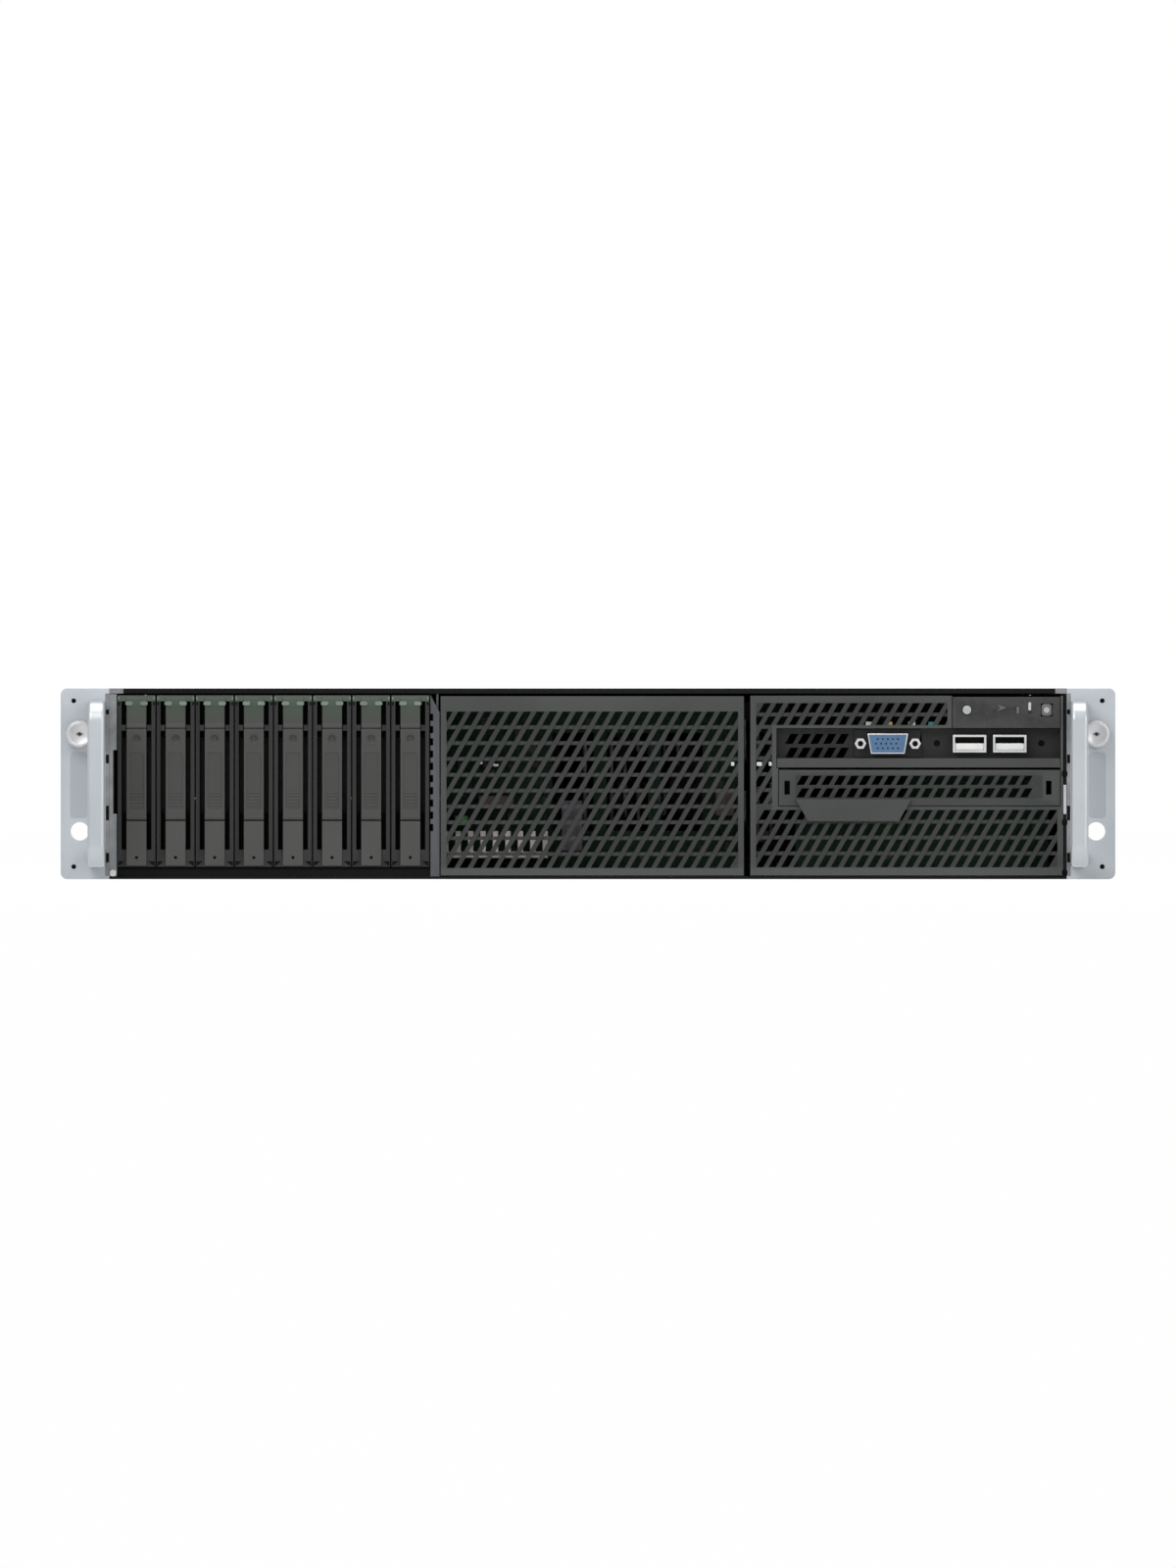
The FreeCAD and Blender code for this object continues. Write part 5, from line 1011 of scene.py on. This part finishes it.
def rear_sockets():
    """Shielded block of rear sockets with vent holes and inner parts, and the slot covers' vents."""
    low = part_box("rear_ports")[0]
    left, bottom = low.x / MM, low.z / MM
    holes = Shape().grid((left + 107, bottom + 5), (8, 4), (5.2, 4.6), 2.6, 1.5,
                         REAR_PLANE - 1.5, REAR_PLANE + 0.3)

    def inside_sockets(centre, normal):
        return REAR_PLANE - 21.5 < centre.y < REAR_PLANE - 0.4

    block = softened("rear_ports", 0.15, 2, [cutter(holes)])
    paint(block, SUPPLY_STEEL, (SOCKET_PLASTIC, inside_sockets))
    network_sockets(left + 4, bottom)
    tongues = Shape()
    for z in (bottom + 4.9, bottom + 12.1):
        tongues.block((left + 58.1, left + 69.5), (REAR_PLANE - 12, REAR_PLANE - 1.0), (z, z + 1.8))
    add("rear_usb_tongues", tongues, "chassis", WHITE_TONGUE, 0.15)
    rear_video(left + 86.6, bottom + 7.8)
    slot_cover_vents()


def network_sockets(left, bottom):
    """Eight contacts and two lights for each of the three network sockets."""
    sockets, pitch, pins = 3, 16.5, 8
    contacts = Shape()
    for socket in range(sockets):
        x = left + socket * pitch
        for pin in range(pins):
            contacts.block((x + 2.2 + pin, x + 2.6 + pin), (REAR_PLANE - 10, REAR_PLANE - 1.5),
                           (bottom + 8.6, bottom + 9.2))
        for place, material in ((2.6, GREEN_LIGHT), (9.2, AMBER_LIGHT)):
            window = Shape().block((x + place - 1.3, x + place + 1.3), (REAR_PLANE - 0.3, REAR_PLANE + 0.12),
                                   (bottom + 10.4, bottom + 11.6))
            add(f"network_light_{socket + 1}_{int(place)}", window, "chassis", material, 0.08)
    add("network_contacts", contacts, "chassis", GOLD)


def rear_video(x, z):
    """Insulator, contacts and nuts of the rear video socket."""
    half_bottom, half_top, half_height, nut_reach = 7.9, 6.6, 3.3, 12.3
    outline = tapered(x, z, half_bottom, half_top, half_height)
    insulator = Shape().prism(outline, "Y", REAR_PLANE - 4.5, REAR_PLANE - 0.4)
    add("rear_video_insulator", insulator, "chassis", VIDEO_BLUE, 0.3)
    # The contact holes are near-black painted shade.
    pins = contact_rows(x, z, REAR_PLANE - 0.6, REAR_PLANE - 0.36)
    nuts = Shape()
    for side in (-1, 1):
        nuts.turned((x + side * nut_reach, z), "Y", [
            (2.6, REAR_PLANE - 0.2), (2.6, REAR_PLANE + 1.6),
            (1.3, REAR_PLANE + 1.6), (1.3, REAR_PLANE + 0.4)], 6)
    add("rear_video_contacts", pins, "chassis", HOLE_SHADE)
    add("rear_video_nuts", nuts, "chassis", NICKEL)


def slot_cover_vents():
    """Rows of near-black discs of painted shade for the vents in the covers of the expansion slots."""
    vents = Shape()
    for left in (-195.0, -49.0):
        vents.grid((left, 44.2), (17, 3), (6.0, 15.2), 0.0, 1.5, REAR_PLANE - 1.6, REAR_PLANE - 1.36)
    add("slot_cover_vents", vents, "chassis", HOLE_SHADE)


def wire_ring(shape, centre, radius, wire, place, sides=40, section=8):
    """A ring of round wire on the rear face."""
    loops = []
    for i in range(sides):
        angle = 2 * math.pi * i / sides
        loop = []
        for j in range(section):
            turn = 2 * math.pi * j / section
            reach = radius + wire * math.cos(turn)
            point = (centre[0] + reach * math.cos(angle), centre[1] + reach * math.sin(angle))
            loop.append(shape.bm.verts.new(with_axis(point, "Y", place + wire * math.sin(turn))))
        loops.append(loop)
    for i in range(sides):
        a, b = loops[i], loops[(i + 1) % sides]
        for j in range(section):
            k = (j + 1) % section
            shape.bm.faces.new([a[j], a[k], b[k], b[j]])


# Floor, light and camera

def shown_white(name, color, share):
    """A pale stage material that shows white to the camera and in reflections, and keeps some shadow."""
    material = bpy.data.materials.new(name)
    material.use_nodes = True
    tree = material.node_tree
    shader = tree.nodes["Principled BSDF"]
    shader.inputs["Base Color"].default_value = color
    shader.inputs["Roughness"].default_value = 0.9
    white = new_node(material, "ShaderNodeEmission", {"Color": WHITE})
    paths = new_node(material, "ShaderNodeLightPath", {})
    rays = {0: paths.outputs["Is Camera Ray"], 1: paths.outputs["Is Glossy Ray"]}
    seen = new_node(material, "ShaderNodeMath", rays, "MAXIMUM")
    part = new_node(material, "ShaderNodeMath", {0: seen.outputs[0], 1: share}, "MULTIPLY")
    mix = new_node(material, "ShaderNodeMixShader", {
        "Fac": part.outputs[0], 1: shader.outputs["BSDF"], 2: white.outputs["Emission"]})
    tree.links.new(mix.outputs["Shader"], tree.nodes["Material Output"].inputs["Surface"])
    return material


def stage():
    """A large pale floor, a hair below the machine so that the two faces don't share a plane."""
    size = 20.0
    level = -0.0003
    mesh = bpy.data.meshes.new("floor")
    corners = [(-size, -size, level), (size, -size, level), (size, size, level), (-size, size, level)]
    mesh.from_pydata(corners, [], [(0, 1, 2, 3)])
    floor = linked("floor", mesh)
    mesh.materials.append(shown_white("floor_white", (0.85, 0.85, 0.85, 1), 0.99))


def lamp(name, place, target, size, power):
    """A soft square lamp that points at a place."""
    data = bpy.data.lights.new(name, "AREA")
    data.shape = "SQUARE"
    data.size = size
    data.energy = power
    light = linked(name, data)
    light.location = place
    light.rotation_euler = (Vector(target) - Vector(place)).to_track_quat("-Z", "Y").to_euler()


def lights():
    """Soft lamps from the front and above, and a world that the camera sees as white."""
    lamp("key", (-1.2, -2.6, 1.8), (0, -0.35, 0.04), 1.6, 46)
    lamp("fill", (1.6, -2.4, 0.9), (0, -0.35, 0.04), 1.4, 20)
    lamp("top", (0, -0.3, 2.2), (0, 0, 0), 2.0, 40)
    world = bpy.data.worlds.new("studio")
    bpy.context.scene.world = world
    world.use_nodes = True
    tree = world.node_tree
    dim = tree.nodes["Background"]
    dim.inputs["Color"].default_value = WHITE
    dim.inputs["Strength"].default_value = 0.4
    bright = new_node(world, "ShaderNodeBackground", {"Color": WHITE, "Strength": 1.0})
    paths = new_node(world, "ShaderNodeLightPath", {})
    mix = new_node(world, "ShaderNodeMixShader", {
        "Fac": paths.outputs["Is Camera Ray"], 1: dim.outputs["Background"], 2: bright.outputs["Background"]})
    tree.links.new(mix.outputs["Shader"], tree.nodes["World Output"].inputs["Surface"])


def camera():
    """A long lens straight in front, at the photograph's scale."""
    photo_height = 1600
    middle_z = 43.54
    lens = 800.0
    sensor = 36.0
    data = bpy.data.cameras.new("camera")
    data.lens = lens
    data.sensor_fit = "VERTICAL"
    data.sensor_height = sensor
    data.clip_end = 60.0
    eye = linked("camera", data)
    distance = photo_height / PHOTO_SCALE * lens / sensor
    eye.location = (0, (FRONT_PLANE - distance) * MM, middle_z * MM)
    eye.rotation_euler = (math.radians(90), 0, 0)
    bpy.context.scene.camera = eye


ears()
handles()
thumb_screws()
drive_bay()
panels()
buttons()
video_port()
video_board()
usb_ports()
bright_clips()
inside()
casing()
rear()
stage()
lights()
camera()
bpy.context.scene.view_settings.view_transform = "Standard"
